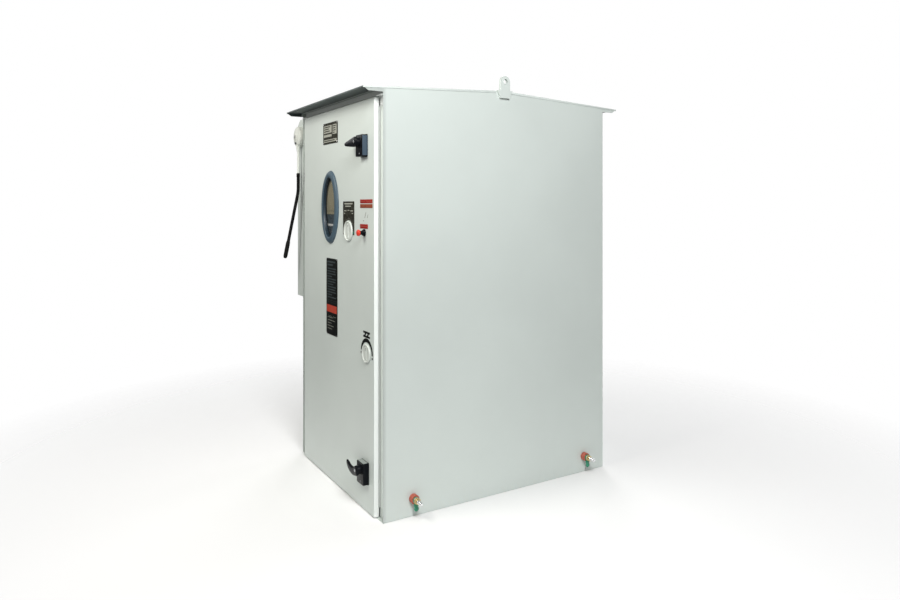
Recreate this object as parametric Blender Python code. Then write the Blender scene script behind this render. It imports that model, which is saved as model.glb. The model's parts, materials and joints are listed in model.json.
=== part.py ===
"""Outdoor electrical control cabinet: a sheet-steel kiosk with a gable rain roof, a hinged front door
with an oval window, rotary dials, a push button and two turn latches, and a lever on a side box.

Metres, +Z up. The origin is the centre of the cabinet's base, the door faces -Y, and the side box with
the lever is on -X. Every object is one separate piece of the cabinet, in its closed position.
"""

from math import atan2, cos, pi, radians, sin

import bmesh
import bpy
from mathutils import Matrix, Vector

# Driving dimensions
WIDTH = 0.770
DEPTH = 0.960
EAVE_Z = 1.420  # top of the roof sheet above the front and back walls
RIDGE_Z = 1.445
OVERHANG = 0.070
ROOF_SHEET = 0.003
SHEET = 0.002
GAP = 0.0003  # clearance between pieces that rest on each other
ROUND_SIDES = 24

HALF_W = WIDTH / 2
HALF_D = DEPTH / 2
INNER_W = HALF_W - SHEET - GAP  # half width between the side panels
FRAME_Y = -HALF_D + 0.012  # front face of the frame, set back behind the panel edges
RIM_FRONT = -HALF_D  # the frame's rim reaches forward to the door's seal
RIM_BACK = FRAME_Y + 0.027
OPENING_W = 0.318  # half width of the door opening
OPENING_LOW = 0.034
OPENING_HIGH = 1.362
EAR_LOW = 1.402  # lower edge of the side panels' ears, which carry the overhanging roof
EAR_REACH = 0.052

# Door
DOOR_W = 0.338  # half width
DOOR_LOW = 0.004
DOOR_HIGH = 1.390
DOOR_FRONT = -0.490
DOOR_DEPTH = 0.018
DOOR_BACK = DOOR_FRONT + SHEET  # inner face of the door skin
HINGE_X = -(DOOR_W + HALF_W - SHEET) / 2
HINGE_Y = -0.4785
HINGE_HEIGHTS = {"upper": 1.150, "lower": 0.240}
HINGE_LENGTH = 0.060
PIN_R = 0.003
KNUCKLE_R = 0.0055

# Things on the door, as x and z of their centres
WINDOW = (-0.048, 1.0260)
WINDOW_SIGHT = (0.055, 0.110)  # half width and half height of the clear opening
BEZEL_WIDTH = 0.026
BEZEL_PROUD = 0.010
SLEEVE_END = DOOR_FRONT + 0.003  # where the bezel's sleeve ends, just behind the door skin
PANE_THICK = 0.004
NAMEPLATE = (-0.049, 1.305)
INSTRUCTION = (-0.0335, 0.690)
UPPER_DIAL = (0.1260, 0.9417)
LOWER_DIAL = (0.2800, 0.5345)
UPPER_DIAL_R = 0.036
LOWER_DIAL_R = 0.032
DIAL_THICK = 0.0055
DIAL_SHAFT_R = 0.005
LEGEND_W = 0.100
LEGEND_LOW = 0.929
LEGEND_HIGH = 1.047
BUTTON = (0.2615, 0.9400)
LATCH_X = {"top": 0.2600, "bottom": 0.2700}
LATCH_HEIGHTS = {"top": 1.2345, "bottom": 0.1340}
LATCH_PIVOT_UP = 0.012  # the pivot sits above the middle of the latch base
LATCH_BASE = (0.055, 0.021, 0.074)
LATCH_SHAFT_R = 0.007
CAM_REACH = 0.078
# Each handle's horn, from its hub to its tip: how far from the pivot, its lower edge and its upper edge.
HORNS = {
    "top": (
        (0.000, -0.0170, 0.0190),
        (0.030, -0.0150, 0.0140),
        (0.060, -0.0120, 0.0080),
        (0.080, -0.0095, 0.0045),
    ),
    "bottom": (
        (0.000, -0.0205, 0.0125),
        (0.020, -0.0250, 0.0050),
        (0.042, -0.0240, 0.0035),
        (0.060, -0.0180, 0.0080),
        (0.071, -0.0090, 0.0110),
    ),
}

# Side box and lever
BOX_FLANGE = 0.0117
BOX_OUT = 0.120
BOX_FRONT = -0.462
BOX_BACK = -0.250
BOX_LOW = 0.644
BOX_HIGH = 1.400
BOX_CHAMFER = (0.028, 0.025)
FLANGE_LOW = 0.456
LEVER_X = -0.451
LEVER_Z = 1.326
LEVER_SHAFT_R = 0.009
HUB_R = 0.042
HUB_FRONT = -0.487
ARM_Y = -0.4786  # the lever hangs in front of the box and bends forward towards its grip
ARM_R = 0.0048
ARM_END = 1.130
GRIP_TOP = 1.170
GRIP_R = 0.0058
GRIP_PATH = ((-0.4786, 1.106), (-0.4792, 1.0935), (-0.4812, 1.080), (-0.5215, 0.882), (-0.5232, 0.874))
KNOB_R = 0.0080
LEVER_TIP = ((-0.5349, 0.816), (-0.5361, 0.810))

# Outside fittings
LUG_W = 0.042
LUG_THICK = 0.010
LUG_LOW = 1.417
LUG_HIGH = 1.497
LUG_HOLE_Z = 1.477
LUG_HOLE_R = 0.0088
EARTH_PLACES = {"front": -0.370, "rear": 0.380}
EARTH_Z = 0.060
BOSS_R = 0.0155
BOSS_LONG = 0.018
STUD_R = 0.006
STUD_LONG = 0.062

# Inside
PLATE_Y = 0.400
PLATE_W = 0.320
PLATE_LOW = 0.110
PLATE_HIGH = 1.300
PLATE_THICK = 0.003
RAIL_Z = 0.980
TERMINAL_Z = 0.420

# Finishes: base colour, roughness, metallic
FINISHES = {
    "paint": ((0.78, 0.81, 0.76), 0.42, 0.0),
    "steel": ((0.62, 0.63, 0.64), 0.35, 1.0),
    "zinc": ((0.55, 0.56, 0.55), 0.45, 1.0),
    "copper": ((0.62, 0.24, 0.14), 0.40, 1.0),
    "brass": ((0.72, 0.60, 0.30), 0.35, 1.0),
    "black_plastic": ((0.015, 0.016, 0.018), 0.38, 0.0),
    "black_metal": ((0.012, 0.012, 0.013), 0.45, 0.0),
    "blue_grey_plastic": ((0.16, 0.23, 0.30), 0.40, 0.0),
    "navy_plastic": ((0.03, 0.06, 0.10), 0.35, 0.0),
    "tan_panel": ((0.42, 0.38, 0.26), 0.55, 0.0),
    "grey_plastic": ((0.55, 0.56, 0.56), 0.50, 0.0),
    "white_plastic": ((0.80, 0.82, 0.80), 0.40, 0.0),
    "red_plastic": ((0.65, 0.03, 0.02), 0.30, 0.0),
    "green_plastic": ((0.03, 0.32, 0.17), 0.45, 0.0),
    "rubber": ((0.03, 0.03, 0.03), 0.80, 0.0),
    "clear": ((0.70, 0.74, 0.76), 0.05, 0.0),
}


# Shape tools


def material(name, finish):
    colour, roughness, metallic = FINISHES[finish]
    made = bpy.data.materials.new(name)
    made.use_nodes = True
    shader = made.node_tree.nodes["Principled BSDF"]
    shader.inputs["Base Color"].default_value = (*colour, 1.0)
    shader.inputs["Roughness"].default_value = roughness
    shader.inputs["Metallic"].default_value = metallic
    return made


def add_object(name, bm, finish, parent=None):
    """Turns a bmesh, in world coordinates, into a named object with its own material."""
    bmesh.ops.recalc_face_normals(bm, faces=bm.faces)
    mesh = bpy.data.meshes.new(name)
    bm.to_mesh(mesh)
    bm.free()
    obj = bpy.data.objects.new(name, mesh)
    bpy.context.scene.collection.objects.link(obj)
    if finish is not None:
        mesh.materials.append(material(name, finish))
    if parent is not None:
        # The mesh moves into the parent's space, so the object's own origin is the joint's axis.
        mesh.transform(Matrix.Translation(-parent.location))
        obj.parent = parent
    return obj


def joint_empty(name, place, parent=None):
    """An empty on a joint's axis. Its children turn or slide about it."""
    empty = bpy.data.objects.new(name, None)
    bpy.context.scene.collection.objects.link(empty)
    empty.empty_display_size = 0.05
    empty.location = place
    return empty


def box_mesh(lo, hi):
    bm = bmesh.new()
    size = Vector(hi) - Vector(lo)
    centre = (Vector(hi) + Vector(lo)) / 2
    bmesh.ops.create_cube(bm, size=1.0)
    bmesh.ops.scale(bm, vec=size, verts=bm.verts)
    bmesh.ops.translate(bm, vec=centre, verts=bm.verts)
    return bm


AXES = {"x": (1, 2, 0), "y": (0, 2, 1), "z": (0, 1, 2)}  # first, second and extrusion coordinate


def prism_mesh(outline, axis, start, end):
    """Extrudes an outline along an axis. The outline is in the other two coordinates, in x, y, z order."""
    first, second, along = AXES[axis]
    bm = bmesh.new()
    rings = []
    for level in (start, end):
        ring = []
        for a, b in outline:
            place = [0.0, 0.0, 0.0]
            place[first] = a
            place[second] = b
            place[along] = level
            ring.append(bm.verts.new(place))
        rings.append(ring)
    bm.faces.new(rings[0])
    bm.faces.new(rings[1])
    count = len(outline)
    for i in range(count):
        j = (i + 1) % count
        bm.faces.new((rings[0][i], rings[0][j], rings[1][j], rings[1][i]))
    return bm


def turned_mesh(profile, axis, centre, sides=ROUND_SIDES, phase=0.0):
    """Turns a profile of (distance along the axis, radius) about an axis through centre.

    A radius of 0 is a point on the axis. The profile runs from one end on the axis to the other.
    """
    first, second, along = AXES[axis]
    bm = bmesh.new()
    rings = []
    for level, radius in profile:
        ring = []
        for i in range(sides if radius > 0 else 1):
            angle = 2 * pi * i / sides + phase
            place = [0.0, 0.0, 0.0]
            place[first] = centre[first] + radius * cos(angle)
            place[second] = centre[second] + radius * sin(angle)
            place[along] = centre[along] + level
            ring.append(bm.verts.new(place))
        rings.append(ring)
    for low, high in zip(rings, rings[1:]):
        for i in range(sides):
            j = (i + 1) % sides
            corners = [low[i % len(low)], low[j % len(low)], high[j % len(high)], high[i % len(high)]]
            unique = list(dict.fromkeys(corners))
            if len(unique) > 2:
                bm.faces.new(unique)
    return bm


def cylinder_mesh(axis, centre, radius, start, end, sides=ROUND_SIDES, phase=0.0):
    """A cylinder from start to end, as world coordinates along its axis."""
    base = list(centre)
    base[AXES[axis][2]] = 0.0
    return turned_mesh([(start, 0), (start, radius), (end, radius), (end, 0)], axis, base, sides, phase)


def change(obj, operation, *meshes):
    """Cuts or joins helper meshes, given in world coordinates, with Boolean modifiers."""
    for bm in meshes:
        helper = add_object(f"{obj.name}_{operation.lower()}_{len(obj.modifiers)}", bm, None)
        helper.hide_render = True
        helper.display_type = "WIRE"
        boolean = obj.modifiers.new(helper.name, "BOOLEAN")
        boolean.operation = operation
        boolean.object = helper
        boolean.solver = "EXACT"


def cut(obj, *meshes):
    change(obj, "DIFFERENCE", *meshes)


def join(obj, *meshes):
    change(obj, "UNION", *meshes)


def smooth(obj):
    obj.data.shade_smooth()
    obj.data.set_sharp_from_angle(angle=radians(35))
    return obj


def bore_radius(shaft_radius, clearance=0.00005):
    """A faceted bore whose flats stay clear of a shaft that turns in it."""
    return (shaft_radius + clearance) / cos(pi / ROUND_SIDES)


def arc(centre, radius, start, end, steps):
    """Points of an arc, both ends included, from angle start to end in radians."""
    for i in range(steps + 1):
        angle = start + (end - start) * i / steps
        yield (centre[0] + radius * cos(angle), centre[1] + radius * sin(angle))


def rounded_rectangle(lo, hi, radius, steps=4):
    points = []
    corners = ((hi[0], hi[1], 0), (lo[0], hi[1], 1), (lo[0], lo[1], 2), (hi[0], lo[1], 3))
    for x, z, quarter in corners:
        middle = (
            x - radius if x == hi[0] else x + radius,
            z - radius if z == hi[1] else z + radius,
        )
        points += arc(middle, radius, quarter * pi / 2, (quarter + 1) * pi / 2, steps)
    return points


def roof_top(y):
    return RIDGE_Z - (RIDGE_Z - EAVE_Z) * abs(y) / HALF_D


def roof_under(y):
    return roof_top(y) - ROOF_SHEET - GAP


# Cabinet shell


def roof():
    tip = HALF_D + OVERHANG
    outline = [
        (-tip, roof_top(tip)),
        (0.0, RIDGE_Z),
        (tip, roof_top(tip)),
        (tip, roof_top(tip) - ROOF_SHEET),
        (0.0, RIDGE_Z - ROOF_SHEET),
        (-tip, roof_top(tip) - ROOF_SHEET),
    ]
    add_object("roof", prism_mesh(outline, "x", -HALF_W, HALF_W), "paint")


def side_panel(name, side):
    """A flat side wall whose top follows the gable, with tapered ears under the overhangs."""
    tip = HALF_D + OVERHANG - SHEET
    ear = HALF_D + EAR_REACH
    outline = [(-HALF_D, 0.0), (HALF_D, 0.0), (HALF_D, EAR_LOW), (ear, EAR_LOW), (tip, roof_under(tip))]
    outline += [(0.0, roof_under(0.0)), (-tip, roof_under(tip)), (-ear, EAR_LOW), (-HALF_D, EAR_LOW)]
    inner = side * (HALF_W - SHEET)
    outer = side * HALF_W
    add_object(name, prism_mesh(outline, "x", min(inner, outer), max(inner, outer)), "paint")


def back_panel():
    top = roof_under(HALF_D) - GAP
    lo = (-INNER_W, HALF_D - SHEET, SHEET + GAP)
    hi = (INNER_W, HALF_D, top)
    add_object("back_panel", box_mesh(lo, hi), "paint")


def floor_pan():
    """The base plate, with a cable entry near the back that the gland plate covers."""
    pan = add_object(
        "floor_pan",
        box_mesh((-INNER_W, -HALF_D + GAP, 0.0), (INNER_W, HALF_D, SHEET)),
        "paint",
    )
    cut(pan, box_mesh((-0.070, 0.210, -SHEET), (0.070, 0.340, 2 * SHEET)))


def trim_rim(rail, z):
    """Ends a rail's forward rim at the posts, so that the door's returns pass it."""
    for side in (-1, 1):
        near = side * (OPENING_W + SHEET)
        far = side * HALF_W
        lo = (min(near, far), RIM_FRONT - 0.01, z - 2 * SHEET)
        hi = (max(near, far), FRAME_Y, z + 2 * SHEET)
        cut(rail, box_mesh(lo, hi))


def header_rail():
    """The front wall over the door: a face, a drip lip over the door's top edge, and the rim."""
    face_top = roof_under(FRAME_Y) - GAP
    lip_low = DOOR_HIGH + 0.0035
    outline = [
        (RIM_FRONT, OPENING_HIGH),
        (RIM_BACK, OPENING_HIGH),
        (RIM_BACK, OPENING_HIGH + SHEET),
        (FRAME_Y + SHEET, OPENING_HIGH + SHEET),
        (FRAME_Y + SHEET, face_top),
        (FRAME_Y, face_top),
        (FRAME_Y, lip_low + SHEET),
        (FRAME_Y - 0.018, lip_low + SHEET),
        (FRAME_Y - 0.018, lip_low),
        (FRAME_Y, lip_low),
        (FRAME_Y, OPENING_HIGH + SHEET),
        (RIM_FRONT, OPENING_HIGH + SHEET),
    ]
    rail = add_object("header_rail", prism_mesh(outline, "x", -INNER_W, INNER_W), "paint")
    trim_rim(rail, OPENING_HIGH)


def sill_rail():
    low = SHEET + GAP
    outline = [
        (RIM_FRONT, OPENING_LOW),
        (RIM_FRONT, OPENING_LOW - SHEET),
        (FRAME_Y, OPENING_LOW - SHEET),
        (FRAME_Y, low),
        (FRAME_Y + SHEET, low),
        (FRAME_Y + SHEET, OPENING_LOW - SHEET),
        (RIM_BACK, OPENING_LOW - SHEET),
        (RIM_BACK, OPENING_LOW),
    ]
    rail = add_object("sill_rail", prism_mesh(outline, "x", -INNER_W, INNER_W), "paint")
    trim_rim(rail, OPENING_LOW)


def front_post(name, side):
    """A folded upright beside the door opening: rim, face and a flange along the side panel."""
    wall = OPENING_W + SHEET
    flange_back = FRAME_Y + 0.030
    outline = [
        (OPENING_W, RIM_FRONT),
        (wall, RIM_FRONT),
        (wall, FRAME_Y),
        (INNER_W, FRAME_Y),
        (INNER_W, flange_back),
        (INNER_W - SHEET, flange_back),
        (INNER_W - SHEET, FRAME_Y + SHEET),
        (wall, FRAME_Y + SHEET),
        (wall, RIM_BACK),
        (OPENING_W, RIM_BACK),
    ]
    outline = [(side * x, y) for x, y in outline]
    start = OPENING_LOW + GAP
    end = OPENING_HIGH - GAP
    add_object(name, prism_mesh(outline, "z", start, end), "paint")


def gland_plate():
    lo = (-0.100, 0.180, SHEET + GAP)
    hi = (0.100, 0.370, SHEET + GAP + 0.003)
    add_object("gland_plate", box_mesh(lo, hi), "zinc")


def lifting_lug(name, side):
    """A flat lug with a round head on the outside of a side panel, with a small gusset each way."""
    half = LUG_W / 2
    head_z = LUG_HIGH - half
    gusset_top = RIDGE_Z
    gusset = 0.011
    right_side = [
        (half, LUG_LOW), (half, gusset_top - 0.022), (half + gusset, gusset_top), (half, gusset_top),
    ]
    left_side = [(-y, z) for y, z in reversed(right_side)]
    outline = right_side + list(arc((0.0, head_z), half, 0.0, pi, 12)) + left_side
    start = side * (HALF_W + GAP)
    end = side * (HALF_W + GAP + LUG_THICK)
    lug = add_object(name, prism_mesh(outline, "x", min(start, end), max(start, end)), "paint")
    inside = side * HALF_W - 0.01
    cut(lug, cylinder_mesh("x", (0, 0, LUG_HOLE_Z), LUG_HOLE_R, inside, inside + 0.03 + side * 0.005))


def earth_terminal(place, y):
    """A round boss on the right side panel with a stud, its nut and a green bonding clamp."""
    centre = (0.0, y, EARTH_Z)
    start = HALF_W + GAP
    boss_end = start + BOSS_LONG
    clamp_start = boss_end + GAP
    clamp_end = clamp_start + 0.005
    nut_start = clamp_end + GAP
    bore_start = start + 0.005
    boss = add_object(f"{place}_earth_boss", cylinder_mesh("x", centre, BOSS_R, start, boss_end), "copper")
    cut(boss, cylinder_mesh("x", centre, STUD_R + 0.0004, bore_start, boss_end + 0.01))

    stud_start = bore_start + GAP
    tip = HALF_W + STUD_LONG
    chamfer = [(tip - 0.002, STUD_R), (tip, STUD_R - 0.0015)]
    profile = [(stud_start, 0), (stud_start, STUD_R)] + chamfer + [(tip, 0)]
    stud = add_object(f"{place}_earth_stud", turned_mesh(profile, "x", centre), "steel")
    join(stud, cylinder_mesh("x", centre, 0.0115, nut_start, nut_start + 0.010, sides=6))
    smooth(stud)
    smooth(boss)

    tail = 0.037
    half = 0.006
    ring = 0.0125
    meet = atan2(-(ring**2 - half**2) ** 0.5, half)
    outline = list(arc((y, EARTH_Z), ring, meet, meet - 2 * (meet + pi / 2) + 2 * pi, 14))
    outline += list(arc((y, EARTH_Z - tail + half), half, pi, 2 * pi, 6))
    clamp = add_object(
        f"{place}_earth_clamp", prism_mesh(outline, "x", clamp_start, clamp_end), "green_plastic"
    )
    cut(clamp, cylinder_mesh("x", centre, STUD_R + 0.0004, clamp_start - 0.01, clamp_end + 0.01))


# Equipment inside


def mounting_rail(name, side):
    """An upright channel that carries the mounting plate off the back panel."""
    front = PLATE_Y + PLATE_THICK + GAP
    back = HALF_D - SHEET - GAP
    outline = [
        (0.280, front),
        (0.310, front),
        (0.310, back),
        (0.308, back),
        (0.308, front + SHEET),
        (0.282, front + SHEET),
        (0.282, back),
        (0.280, back),
    ]
    outline = [(side * x, y) for x, y in outline]
    add_object(name, prism_mesh(outline, "z", PLATE_LOW, PLATE_HIGH), "zinc")


def mounting_plate():
    lo = (-PLATE_W, PLATE_Y, PLATE_LOW)
    hi = (PLATE_W, PLATE_Y + PLATE_THICK, PLATE_HIGH)
    add_object("mounting_plate", box_mesh(lo, hi), "zinc")


def din_rail():
    """Top-hat rail, 35 mm high and 7.5 mm deep."""
    back = PLATE_Y - GAP
    front = back - 0.0075
    skin = 0.001
    half = 0.0175
    web = 0.0125
    outline = [
        (front, RAIL_Z + half),
        (front + skin, RAIL_Z + half),
        (front + skin, RAIL_Z + web),
        (back, RAIL_Z + web),
        (back, RAIL_Z - web),
        (front + skin, RAIL_Z - web),
        (front + skin, RAIL_Z - half),
        (front, RAIL_Z - half),
        (front, RAIL_Z - web + skin),
        (back - skin, RAIL_Z - web + skin),
        (back - skin, RAIL_Z + web - skin),
        (front, RAIL_Z + web - skin),
    ]
    add_object("din_rail", prism_mesh(outline, "x", -0.250, 0.250), "zinc")


def wiring_duct(name, middle_z):
    back = PLATE_Y - GAP
    add_object(
        name,
        box_mesh((-0.300, back - 0.060, middle_z - 0.030), (0.300, back, middle_z + 0.030)),
        "grey_plastic",
    )


def stepped_block(name, x0, x1, z, finish, depth=0.066, half=0.0425, nose=0.022):
    """A rail-mounted device: a body with a narrower nose in front, as breakers and contactors have."""
    back = PLATE_Y - GAP - 0.0075 - GAP
    step = back - depth + 0.022
    front = back - depth
    outline = [
        (back, z - half),
        (step, z - half),
        (step, z - nose),
        (front, z - nose),
        (front, z + nose),
        (step, z + nose),
        (step, z + half),
        (back, z + half),
    ]
    return add_object(name, prism_mesh(outline, "x", x0, x1), finish)


def circuit_breaker():
    """A three-pole breaker and its toggle, which turns about X in a slot in the nose."""
    left = -0.200
    right = -0.146
    breaker = stepped_block("circuit_breaker", left, right, RAIL_Z, "grey_plastic")
    front = PLATE_Y - GAP - 0.0075 - GAP - 0.066
    pivot_y = front + 0.006
    slot_lo = (left + 0.006, front - 0.010, RAIL_Z - 0.012)
    slot_hi = (right - 0.006, pivot_y + 0.008, RAIL_Z + 0.012)
    cut(breaker, box_mesh(slot_lo, slot_hi))

    pivot = joint_empty("breaker_toggle_pivot", (0.0, pivot_y, RAIL_Z))
    hub = cylinder_mesh("x", (0, pivot_y, RAIL_Z), 0.0065, left + 0.007, right - 0.007, sides=16)
    toggle = add_object("breaker_toggle", hub, "black_plastic", pivot)
    lift = radians(40)
    nose = [
        (pivot_y + 0.002 * cos(a) - r * cos(lift) , RAIL_Z + 0.002 * sin(a) + r * sin(lift))
        for a, r in ((-pi / 2, 0.002), (-pi / 2, 0.017), (pi / 2, 0.017), (pi / 2, 0.002))
    ]
    join(toggle, prism_mesh(nose, "x", left + 0.012, right - 0.012))
    return pivot


def contactor():
    stepped_block("contactor", -0.090, -0.030, RAIL_Z, "grey_plastic", depth=0.080, nose=0.030)


def terminal_block():
    """A row of terminals clipped on its own short rail, drawn as one stepped block."""
    stepped_block(
        "terminal_block", -0.220, 0.200, TERMINAL_Z, "grey_plastic", depth=0.048, half=0.030, nose=0.012
    )


def earth_bar():
    """A copper bar on two feet along the bottom of the mounting plate."""
    back = PLATE_Y - GAP
    low = PLATE_LOW + 0.030
    high = low + 0.025
    outline = []
    for x, y in (
        (-0.200, back), (-0.200, back - 0.020), (0.200, back - 0.020), (0.200, back),
        (0.175, back), (0.175, back - 0.014), (-0.175, back - 0.014), (-0.175, back),
    ):
        outline.append((x, y))
    add_object("earth_bar", prism_mesh(outline, "z", low, high), "copper")


def heater():
    """Anti-condensation heater: a finned block on the mounting plate."""
    back = PLATE_Y - GAP
    base = back - 0.012
    tip = back - 0.045
    left = 0.070
    fins = 7
    pitch = 0.016
    width = 0.006
    outline = [(left, back), (left + fins * pitch - (pitch - width), back)]
    for i in reversed(range(fins)):
        start = left + i * pitch
        outline += [(start + width, base), (start + width, tip), (start, tip), (start, base)]
    # The first and last fins stand flush with the ends, so their outer points lie on the end faces.
    outline.remove((left + (fins - 1) * pitch + width, base))
    outline.remove((left, base))
    add_object("heater", prism_mesh(outline, "z", 0.560, 0.660), "zinc")


# Side box and its lever


def side_box():
    """A box on the left panel, open to the panel, with a deeper flange below."""
    face = -HALF_W - GAP
    flange = face - BOX_FLANGE
    outer = -HALF_W - BOX_OUT

    def outline(inset):
        left = outer + inset
        top = BOX_HIGH - inset
        return [
            (face + inset, BOX_LOW + inset), (face + inset, top), (left + BOX_CHAMFER[0], top),
            (left, top - BOX_CHAMFER[1]), (left, BOX_LOW + inset),
        ]

    made = add_object("side_box", prism_mesh(outline(0.0), "y", BOX_FRONT, BOX_BACK), "paint")
    flange_lo = (flange, BOX_FRONT - 0.008, FLANGE_LOW)
    flange_hi = (face, BOX_BACK + 0.010, BOX_HIGH - 0.001)
    join(made, box_mesh(flange_lo, flange_hi))
    cavity = prism_mesh(outline(SHEET), "y", BOX_FRONT + SHEET, BOX_BACK - SHEET)
    mouth_lo = (flange - 0.002, BOX_FRONT + SHEET, BOX_LOW + SHEET)
    mouth_hi = (face + 0.001, BOX_BACK - SHEET, BOX_HIGH - SHEET)
    bore = cylinder_mesh(
        "y", (LEVER_X, 0, LEVER_Z), bore_radius(LEVER_SHAFT_R), BOX_FRONT - 0.01, BOX_FRONT + 0.01
    )
    cut(made, cavity, box_mesh(mouth_lo, mouth_hi), bore)


def isolator_switch():
    """The switch that the side lever turns, on the left panel inside the side box."""
    near = -HALF_W - 2 * GAP
    front = BOX_FRONT + 0.022
    made = add_object(
        "isolator_switch",
        box_mesh((near - 0.100, front, LEVER_Z - 0.048), (near, front + 0.130, LEVER_Z + 0.048)),
        "grey_plastic",
    )
    hole = cylinder_mesh("y", (LEVER_X, 0, LEVER_Z), bore_radius(LEVER_SHAFT_R), front - 0.01, front + 0.030)
    cut(made, hole)


def swept_mesh(path, sides=16):
    """A round bar whose path, of (y, z, radius), lies in the plane of the lever."""
    bm = bmesh.new()
    rings = []
    last = len(path) - 1
    for i, (y, z, radius) in enumerate(path):
        before = path[max(i - 1, 0)]
        after = path[min(i + 1, last)]
        along = Vector((after[0] - before[0], after[1] - before[1])).normalized()
        across = Vector((along.y, -along.x))
        ring = []
        for k in range(sides):
            angle = 2 * pi * k / sides
            offset = across * radius * cos(angle)
            ring.append(bm.verts.new((LEVER_X + radius * sin(angle), y + offset.x, z + offset.y)))
        rings.append(ring)
    bm.faces.new(rings[0])
    bm.faces.new(rings[last])
    for near, far in zip(rings, rings[1:]):
        for k in range(sides):
            j = (k + 1) % sides
            bm.faces.new((near[k], near[j], far[j], far[k]))
    return bm


def side_lever():
    """A round hub with its shaft and hanging arm in one piece, and a black bent bar on the arm."""
    hub_back = BOX_FRONT - 0.0015
    shaft_end = BOX_FRONT + 0.022 + 0.028
    pivot = joint_empty("side_lever_pivot", (LEVER_X, BOX_FRONT, LEVER_Z))
    profile = [
        (HUB_FRONT - 0.006, 0), (HUB_FRONT - 0.006, 0.012), (HUB_FRONT - 0.003, 0.016),
        (HUB_FRONT - 0.001, HUB_R - 0.010), (HUB_FRONT + 0.003, HUB_R - 0.002), (HUB_FRONT + 0.007, HUB_R),
        (hub_back, HUB_R), (hub_back, LEVER_SHAFT_R), (shaft_end, LEVER_SHAFT_R), (shaft_end, 0),
    ]
    shape = turned_mesh(profile, "y", (LEVER_X, 0, LEVER_Z))
    lever = add_object("side_lever", shape, "white_plastic", pivot)
    place = (LEVER_X, ARM_Y, 0)
    join(
        lever,
        cylinder_mesh("z", place, 0.0095, LEVER_Z - 0.060, LEVER_Z - 0.020, sides=16),
        cylinder_mesh("z", place, ARM_R, ARM_END, LEVER_Z - 0.030, sides=16),
    )
    smooth(lever)

    path = [(ARM_Y, GRIP_TOP, GRIP_R)]
    path += [(y, z, GRIP_R) for y, z in GRIP_PATH[:-1]]
    path.append((*GRIP_PATH[-1], KNOB_R))
    path.append((*LEVER_TIP[0], KNOB_R))
    path.append((*LEVER_TIP[1], 0.006))
    grip = add_object("side_lever_grip", swept_mesh(path), "black_plastic", pivot)
    socket = cylinder_mesh("z", place, ARM_R + GAP, ARM_END - GAP, GRIP_TOP + 0.01, sides=16)
    cut(grip, socket)
    smooth(grip)


# Door and what it carries


def ellipse_mesh(centre, half_w, half_h, y0, y1, steps=40):
    points = []
    for i in range(steps):
        angle = 2 * pi * i / steps
        points.append((centre[0] + half_w * cos(angle), centre[1] + half_h * sin(angle)))
    return prism_mesh(points, "y", y0, y1)


def door_panel(hinge):
    """The door skin with its folded returns, and the cut-outs for what is mounted on it."""
    back = DOOR_FRONT + DOOR_DEPTH
    door = add_object(
        "door_panel", box_mesh((-DOOR_W, DOOR_FRONT, DOOR_LOW), (DOOR_W, back, DOOR_HIGH)), "paint", hinge
    )
    cavity_lo = (-DOOR_W + SHEET, DOOR_BACK, DOOR_LOW + SHEET)
    cavity_hi = (DOOR_W - SHEET, back + 0.01, DOOR_HIGH - SHEET)
    through = (DOOR_FRONT - 0.01, DOOR_BACK + 0.005)
    window_cut = ellipse_mesh(WINDOW, WINDOW_SIGHT[0] + 0.0065, WINDOW_SIGHT[1] + 0.0065, *through)
    holes = [
        cylinder_mesh("y", (UPPER_DIAL[0], 0, UPPER_DIAL[1]), DIAL_SHAFT_R + 0.001, *through, sides=16),
        cylinder_mesh("y", (LOWER_DIAL[0], 0, LOWER_DIAL[1]), DIAL_SHAFT_R + 0.001, *through, sides=16),
        cylinder_mesh("y", (BUTTON[0], 0, BUTTON[1]), 0.0115, *through, sides=16),
    ]
    for place, height in LATCH_HEIGHTS.items():
        shaft = (LATCH_X[place], 0, height + LATCH_PIVOT_UP)
        holes.append(cylinder_mesh("y", shaft, LATCH_SHAFT_R + 0.001, *through, sides=16))
    cut(door, box_mesh(cavity_lo, cavity_hi), window_cut, *holes)


def door_gasket(hinge):
    """A foam strip round the inside of the door, opposite the frame's rim."""
    y0 = DOOR_BACK + GAP
    y1 = RIM_FRONT - GAP
    over = 0.009
    outer_lo = (-OPENING_W - over, y0, OPENING_LOW - over)
    outer_hi = (OPENING_W + over, y1, OPENING_HIGH + over)
    inner_lo = (-OPENING_W + over, y0 - 0.01, OPENING_LOW + over)
    inner_hi = (OPENING_W - over, y1 + 0.01, OPENING_HIGH - over)
    gasket = add_object("door_gasket", box_mesh(outer_lo, outer_hi), "rubber", hinge)
    cut(gasket, box_mesh(inner_lo, inner_hi))


def door_stiffener(hinge):
    """A folded hat section across the inside of the door, below the lower dial."""
    front = DOOR_BACK + GAP
    back = front + 0.015
    z = 0.320
    outline = [
        (front, z - 0.030), (front + SHEET, z - 0.030), (front + SHEET, z - 0.015), (back, z - 0.015),
        (back, z + 0.015), (front + SHEET, z + 0.015), (front + SHEET, z + 0.030), (front, z + 0.030),
        (front, z + 0.013), (back - SHEET, z + 0.013), (back - SHEET, z - 0.013), (front, z - 0.013),
    ]
    add_object("door_stiffener", prism_mesh(outline, "x", -0.290, 0.290), "paint", hinge)


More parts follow.
